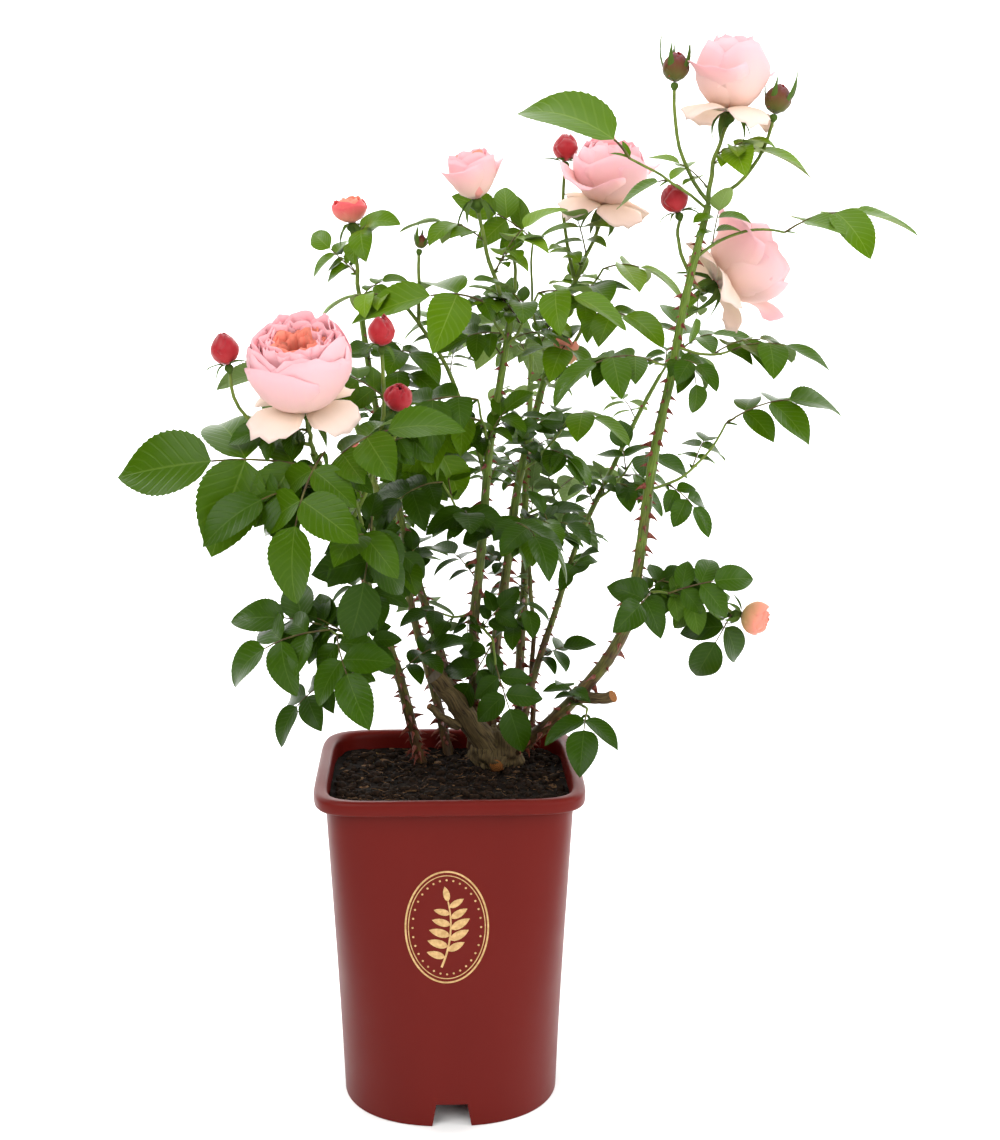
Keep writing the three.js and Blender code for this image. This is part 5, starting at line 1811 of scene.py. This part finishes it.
    def build(self) -> None:
        """Grows all leaves, then makes one piece of leaves and one of stalks for each region."""
        for k, spray in enumerate(self.lines.sprays):
            self.spray_leaves(spray, k + 1)
            self.stem_leaves(spray, k + 1)
        for k, cane in enumerate(LEAFY):
            self.cane_leaves(cane, k)
        finishes = []
        # Each green makes an upper and an underside finish. The darker low ones carry painted shade and the
        # lighter high ones painted sheen, besides the leaves' age.
        for name, top, vein, under in GREENS_AGE_AND_SHADE:
            finishes.append(LeafSkin(f"waxy {name} green leaf", top, vein, 0.3, 3.0, 0.12, 0.13))
            below = f"pale underside of {name} leaf"
            finishes.append(LeafSkin(below, under, "97a96c", 0.6, 3.0, 0.2, 0.1, sunken=False))
        for part, where in enumerate(("left", "middle", "right")):
            shapes = {"leaflet": self.leaflet, "small": self.small, "stipule": self.stipule}
            laid = [shapes[kind].lay(rows)
                    for (region, kind), rows in self.blades.items() if region == part]
            nodes = [s.name for s in self.lines.sprays if self.region(s.to[0]) == part]
            make_piece(f"leaves_{where}", Surface.joined(laid), finishes, nodes)
            rows = self.stalks[part]
            widths = [(0.4 + 0.008 * length, 0.3 + 0.005 * length) for _, length in rows]
            stalks = sweep_tubes([stalk for stalk, _ in rows], widths, 7, 6)
            make_piece(f"leaf_stalks_{where}", stalks, [STALK], [])


# ---- flowers
FOOT_TILT = 78.0  # angle of a cup petal's foot off the flower's axis, degrees


@dataclass(frozen=True)
class PetalRing:
    """One ring of alike petals round a flower's axis.

    Attributes:
        count: Petals in the ring.
        length: Of a petal along its middle, mm.
        half_width: At its widest, mm.
        tilts: Angles from the axis at its foot, on the way, and at its tip, degrees.
        wrap: How tightly its width is rolled about the axis: 1 follows the ring.
        ruffle: Height of the waves of its free edge, mm.
        skin: Finish number.
        foot: Distance of its foot from the axis and up the axis, mm.
        turn: Angle of the first petal, radians.
        fall: How far its sides end short of its middle, as a share of its length.
    """

    count: int
    length: float
    half_width: float
    tilts: Triple
    wrap: float
    ruffle: float
    skin: int
    foot: Pair
    turn: float
    fall: float = 0.4

    @classmethod
    def cup(cls, count: int, mouth: float, height: float, tip: float, half_width: float, ruffle: float,
            skin: int, foot: Pair, turn: float) -> "PetalRing":
        """A ring whose petals end at a given distance from the axis and a given height.

        A petal's middle line turns from its foot's tilt, by way of an angle b, to its tip's angle. The ratio
        of the two sums of its sine and cosine settles b, and the height then settles the length.

        Args:
            count: Petals in the ring.
            mouth: Distance of the tips from the axis, mm.
            height: Of the tips above the foot, mm.
            tip: Angle of the tips off the axis, degrees.
            half_width: Of a petal, mm.
            ruffle: Height of its edge's waves, mm.
            skin: Finish number.
            foot: Distance of its foot from the axis and up the axis, mm.
            turn: Angle of the first petal, radians.

        Returns:
            The ring.
        """
        v = np.linspace(0, 1, 60)
        trial = np.linspace(-45, 95, 80)[:, None]
        angle = np.radians(FOOT_TILT * (1 - v) ** 2 + 2 * trial * v * (1 - v) + tip * v**2)
        ratio = np.sin(angle).mean(1) / np.cos(angle).mean(1)
        b = float(np.interp((mouth - foot[0]) / height, ratio, trial[:, 0]))
        angle = np.radians(FOOT_TILT * (1 - v) ** 2 + 2 * b * v * (1 - v) + tip * v**2)
        length = height / float(np.cos(angle).mean())
        fall = 0.05 + 0.2 * half_width / length
        return cls(count, length, half_width, (FOOT_TILT, b, tip), 1.0, ruffle, skin, foot, turn, fall)

    def surface(self, base: Array, axis: Array, seed: float,
                strays: Array | None = None) -> Surface:
        """The ring's petals as open sheets, set on a flower.

        Along a petal the middle line is the running sum of the sine and cosine of its angle; its free edge
        falls away at the sides by |u|^2.6 and is a little ragged; across, it is an arc about the axis; and
        ruffles rise from its inside.

        Args:
            base: The flower's base, mm.
            axis: Its unit axis.
            seed: Of its chances.
            strays: Degrees added to each petal's angles.

        Returns:
            The sheets, with UV of share across and share along.
        """
        across, along, fine_steps = 9, 8, 64
        u = np.linspace(-1, 1, across)[None, None]
        v0 = np.linspace(0, 1, along)[None, :, None] ** 0.8
        rows = np.arange(self.count, dtype=float)[:, None, None]
        draws = [chance(seed + rows, 3.0 + k) for k in range(5)]
        stray = 0 if strays is None else strays[:, None, None]
        frays = 1 + np.sin(5 * u + CIRCLE * draws[4]) * np.cos(8 * u + CIRCLE * draws[3])
        ragged = 0.2 * self.fall * v0**3 * frays
        share = v0 * (1 - self.fall * np.abs(u) ** 2.6 * v0 - ragged) + 0 * rows
        fine = np.linspace(0, 1, fine_steps)
        a, b, c = self.tilts
        turn = np.radians(a * (1 - fine) ** 2 + 2 * b * fine * (1 - fine) + c * fine**2
                          + (stray + 11 * (draws[0] - 0.5)) * fine)[:, 0]
        length = self.length * (0.95 + 0.1 * draws[1])
        out = np.cumsum(np.sin(turn), -1) / fine_steps
        up = np.cumsum(np.cos(turn), -1) / fine_steps
        place = np.clip(share * (fine_steps - 1), 0, fine_steps - 1.001)
        low = place.astype(int)
        part = place - low
        pick = rows.astype(int)

        def read(line: Array) -> Array:
            """A running sum read between its fine steps."""
            return line[pick, low] * (1 - part) + line[pick, low + 1] * part

        r = self.foot[0] + length * read(out)
        z = self.foot[1] + length * read(up)
        angle = read(turn)
        width = self.half_width * (0.22 + 0.78 * np.sin(np.pi / 2 * np.minimum(share / 0.72, 1)))
        curve = np.maximum(r, 2.2) / self.wrap
        roll = np.clip(u * width / curve, -2.7, 2.7)
        inwards = curve * (1 - np.cos(roll))
        aside = curve * np.sin(roll)
        wave = np.sin(3.4 * u + CIRCLE * draws[2]) + 0.55 * np.sin(7.3 * u + CIRCLE * draws[3] + 3 * share)
        inwards = inwards + self.ruffle * share**2.4 * wave - 0.045 * self.length * share**6
        x = r - inwards * np.cos(angle)
        z = z + inwards * np.sin(angle)
        around = self.turn + 2 * np.pi * (rows + 0.3) / self.count + 0.2 * (draws[4] - 0.5)
        right = square_to(vector((1, 0, 0)), axis)
        other = np.cross(axis, right)
        radial = np.cos(around)[..., None] * right + np.sin(around)[..., None] * other
        sideways = np.cross(axis, radial)
        points = base + x[..., None] * radial + aside[..., None] * sideways + z[..., None] * axis
        row, column = np.indices((along - 1, across - 1))
        near = row * across + column
        quad = np.stack([near, near + 1, near + across + 1, near + across], -1).reshape(-1, 4)
        faces = (quad[None] + (np.arange(self.count) * across * along)[:, None, None]).reshape(-1, 4)
        flat = np.stack(np.broadcast_arrays(u, v0), -1).reshape(-1, 2)
        uv = np.broadcast_to(flat[quad], (self.count, *quad.shape, 2)).reshape(-1, 4, 2)
        return Surface(points.reshape(-1, 3), [faces], [uv], [np.full(len(faces), self.skin)])


@dataclass
class Blossom:
    """All blooms and buds, with their petals, hips and sepals, and the stems that carry them.

    Attributes:
        lines: What they grow on.
        skins: Petal finishes by number.
        sepal: Shape of a sepal.
        closed: Radius under which a flower is a closed bud, mm.
    """

    lines: Framework
    skins: tuple[str, ...] = tuple(PETALS)
    sepal: BladeShape = BladeShape(6, 0, 0.19, (0.35, 1.3), 0.3, 0.7, 0.015)
    closed: float = 11.0
    petals: list[Surface] = field(default_factory=list)
    hips: list[Surface] = field(default_factory=list)
    sepals: BladeList = field(default_factory=BladeList)

    def rings(self, shape: FlowerShape, hip: float) -> list[PetalRing]:
        """The nested rings of a flower's cup, from the outside in.

        Args:
            shape: The flower's sizes.
            hip: Radius of its hip, mm.

        Returns:
            The rings.
        """
        radius, height = shape.radius, shape.height - 1.7 * hip
        foot = (0.5 * hip, 1.7 * hip)
        skins = [self.skins.index(name) for name in shape.skins]
        rings = []
        for k, (count, mouth, wide, tall, tip, wavy, skin) in enumerate(shape.form.value):
            ruffle = wavy * radius / RUFFLE_RADIUS
            rings.append(PetalRing.cup(count, mouth * radius, height * tall, tip, radius * wide, ruffle,
                                       skins[skin], foot, 0.7 * k))
        return rings

    def flower(self, bloom: Bloom, base: Array, seed: float) -> None:
        """Adds one flower: its rings of petals, its guard petals, its hip and its five sepals.

        Args:
            bloom: Its row.
            base: Where its stem ends, mm.
            seed: Of its chances.
        """
        shape = bloom.kind.value
        axis = unit(vector(bloom.axis))
        hip = float(np.clip(shape.radius * 0.34, 2.4, 5.5))
        for k, ring in enumerate(self.rings(shape, hip)):
            self.petals.append(ring.surface(base, axis, seed + 3 * k))
        if shape.guards:
            strays = 30 * (chance(seed, np.arange(shape.guards) + 70) - 0.5)
            turn = 0.4 if shape.form is Form.QUARTERED else 0.0
            guard = PetalRing(shape.guards, 0.88 * shape.guard_reach, 0.42 * shape.guard_reach,
                              (62, 0.86 * shape.guard_tilt, 1.45 * shape.guard_tilt), -0.42, 3.6,
                              self.skins.index("cream"), (0.4 * hip, 1.7 * hip + 1), turn)
            self.petals.append(guard.surface(base, axis, seed + 40, strays))
        t = np.linspace(0, 1, 9)
        path = base + axis * (t[:, None] * 1.9 * hip - 1)
        widths = [1.5, 1.8, 1.0 * hip, 0.92 * hip, 0.72 * hip, 0.5 * hip]
        radii = np.interp(t, [0, 0.15, 0.45, 0.75, 0.92, 1], widths)
        self.hips.append(tubes(path[None], radii[None], 14))
        right = square_to(vector((1, 0, 0)), axis)
        other = np.cross(axis, right)
        closed = shape.radius < self.closed
        for k in range(5):
            angle = 2 * np.pi * (k + 0.2) / 5 + 0.3 * chance(seed, k)
            radial = math.cos(angle) * right + math.sin(angle) * other
            root = base + axis * 1.62 * hip + radial * (0.85 if closed else 0.6) * hip
            if closed:
                hugs = bloom.kind in (Flower.OLIVE_BUD, Flower.DRIED_BUD)
                along = unit(axis + radial * (1.0 if hugs else 1.2 + 2.5 * chance(seed, k + 5)))
                length = shape.height * (0.8 + 0.3 * chance(seed, k + 9)) * (1.4 if hugs else 0.75)
                bend = -1.1 if hugs else 0.5 + 1.4 * chance(seed, k + 13)
                self.sepals.add(root, along, -radial, length, bend, 0.3, 0.5)
            else:
                along = unit(radial - axis * (0.2 + 0.8 * chance(seed, k + 5)))
                length, bend = 12 + 0.55 * shape.radius, 0.6 + chance(seed, k + 13)
                self.sepals.add(root, along, axis, length, bend, 0.5, 0.6)

    def build(self) -> None:
        """Makes the petals, the hips and sepals, and the stems and twigs."""
        seed = 0.0
        for spray in self.lines.sprays:
            for bloom in spray.flowers:
                seed += 17
                if bloom.kind is not Flower.CUT:
                    self.flower(bloom, vector(bloom.to or spray.to), seed)
        finishes = [PETALS[name] for name in self.skins]
        blossom = make_piece("petals", Surface.joined(self.petals), finishes, [])
        skin = blossom.modifiers.new("petal thickness", "SOLIDIFY")
        skin.thickness, skin.offset = 0.0004, 0.0
        green = Surface.joined([*self.hips, self.sepal.lay(self.sepals)])
        green.slots = [np.zeros_like(s) for s in green.slots]
        make_piece("hips_and_sepals", green, [SEPAL], [])
        stems = [self.lines.stems[spray.name] for spray in self.lines.sprays]
        twigs = self.lines.twigs
        widths = [(1.9, 1.35) if spray.flowers else (1.25, 0.85) for spray in self.lines.sprays]
        green = [sweep_tubes(stems, widths, 14, 8), sweep_tubes(twigs, [(1.5, 1.2)] * len(twigs), 10, 8)]
        make_piece("stems", Surface.joined(green), [STEM], [])


# ---- the studio
@dataclass
class Studio:
    """The floor that curves up behind, the lights and the camera.

    Attributes:
        eye: Where the camera stands, m.
        pitch: How far it looks down, degrees.
        yaw: How far it looks to the right, degrees.
        lens: Focal length, mm.
        sensor: Long side of the sensor, mm.
        surround: Strength of the white surroundings.
    """

    eye: Triple = (-0.0663, -1.388, 0.650)
    pitch: float = 10.4
    yaw: float = 2.2
    lens: float = 56.84
    sensor: float = 36.0
    surround: float = 0.16

    def floor(self) -> None:
        """Makes the pale sweep: a floor that turns up into a wall through a quarter circle."""
        bend = np.linspace(0, np.pi / 2, 12)
        y = np.concatenate([[-5.0], 2.2 + 1.2 * np.sin(bend), [3.4]])
        z = np.concatenate([[0.0], 1.2 - 1.2 * np.cos(bend), [7.0]])
        x = np.array([-8.0, 8.0])
        points = np.stack([np.tile(x, len(y)), np.repeat(y, 2), np.repeat(z, 2)], -1)
        faces = [(2 * k, 2 * k + 1, 2 * k + 3, 2 * k + 2) for k in range(len(y) - 1)]
        mesh = bpy.data.meshes.new("studio_sweep")
        mesh.from_pydata(points.tolist(), [], faces)
        mesh.polygons.foreach_set("use_smooth", np.ones(len(faces), dtype=bool))
        paper = Finish("matt white paper sweep", "f8f8f7", "fafaf9", 0.9, 40.0, 0.01)
        mesh.materials.append(paper.material())
        sweep = bpy.data.objects.new("studio_sweep", mesh)
        bpy.context.scene.collection.objects.link(sweep)

    def light(self, name: str, place: Triple, aim: Triple,
              size: Pair, watts: float) -> None:
        """Hangs one soft box.

        Args:
            name: The light's name.
            place: Where it hangs, m.
            aim: What it points at, m.
            size: Its width and height, m.
            watts: Its power.
        """
        lamp = bpy.data.lights.new(name, "AREA")
        lamp.shape, lamp.size, lamp.size_y, lamp.energy = "RECTANGLE", *size, watts
        holder = bpy.data.objects.new(name, lamp)
        holder.location = place
        holder.rotation_euler = look_along(vector(aim) - vector(place))
        bpy.context.scene.collection.objects.link(holder)

    def build(self) -> None:
        """Makes the sweep, the lights, the white surroundings and the camera."""
        self.floor()
        self.light("large_key", (-1.4, -1.9, 2.2), (-0.03, 0, 0.4), (2.0, 2.0), 68)
        self.light("front_fill", (1.1, -2.3, 1.3), (0, 0, 0.4), (1.6, 1.6), 28)
        self.light("top_box", (0.2, 0.3, 2.6), (0, 0, 0.5), (2.2, 2.0), 38)
        self.light("right_strip", (1.7, -0.7, 0.8), (0, 0, 0.25), (0.35, 1.5), 18)
        self.light("left_wash", (-2.4, 0.9, 2.2), (-1.6, 3.4, 1.0), (1.5, 1.5), 170)
        self.light("right_wash", (2.4, 0.9, 2.2), (1.6, 3.4, 1.0), (1.5, 1.5), 170)
        world = bpy.data.worlds.new("white room")
        world.use_nodes = True
        sky = world.node_tree.nodes["Background"]
        sky.inputs["Color"].default_value = (1, 1, 1, 1)
        sky.inputs["Strength"].default_value = self.surround
        bpy.context.scene.world = world
        bpy.context.scene.view_settings.view_transform = "Standard"
        camera = bpy.data.cameras.new("camera")
        camera.lens, camera.sensor_width = self.lens, self.sensor
        holder = bpy.data.objects.new("camera", camera)
        holder.location = self.eye
        holder.rotation_euler = Euler((math.radians(90 - self.pitch), 0, math.radians(-self.yaw)))
        bpy.context.scene.collection.objects.link(holder)
        bpy.context.scene.camera = holder


def look_along(direction: Array) -> Euler:
    """The turn that points a light's -Z along a direction."""
    x, y, z = unit(direction)
    return Euler((math.acos(-z), 0, math.atan2(y, x) - math.pi / 2))


def corners(box: object) -> list[list[float]]:
    """A box's two corners as plain lists."""
    return [[float(c) for c in corner] for corner in box]


def main() -> None:
    """Loads the frame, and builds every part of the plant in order."""
    logging.basicConfig(level=logging.INFO, format="%(name)s: %(message)s")
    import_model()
    lines = Framework()
    lines.grow()
    Studio().build()
    pot = Pot()
    pot.build()
    PottingMix(pot).build()
    Wood(lines).build()
    Foliage(lines).build()
    Blossom(lines).build()


if __name__ == "__main__":
    main()
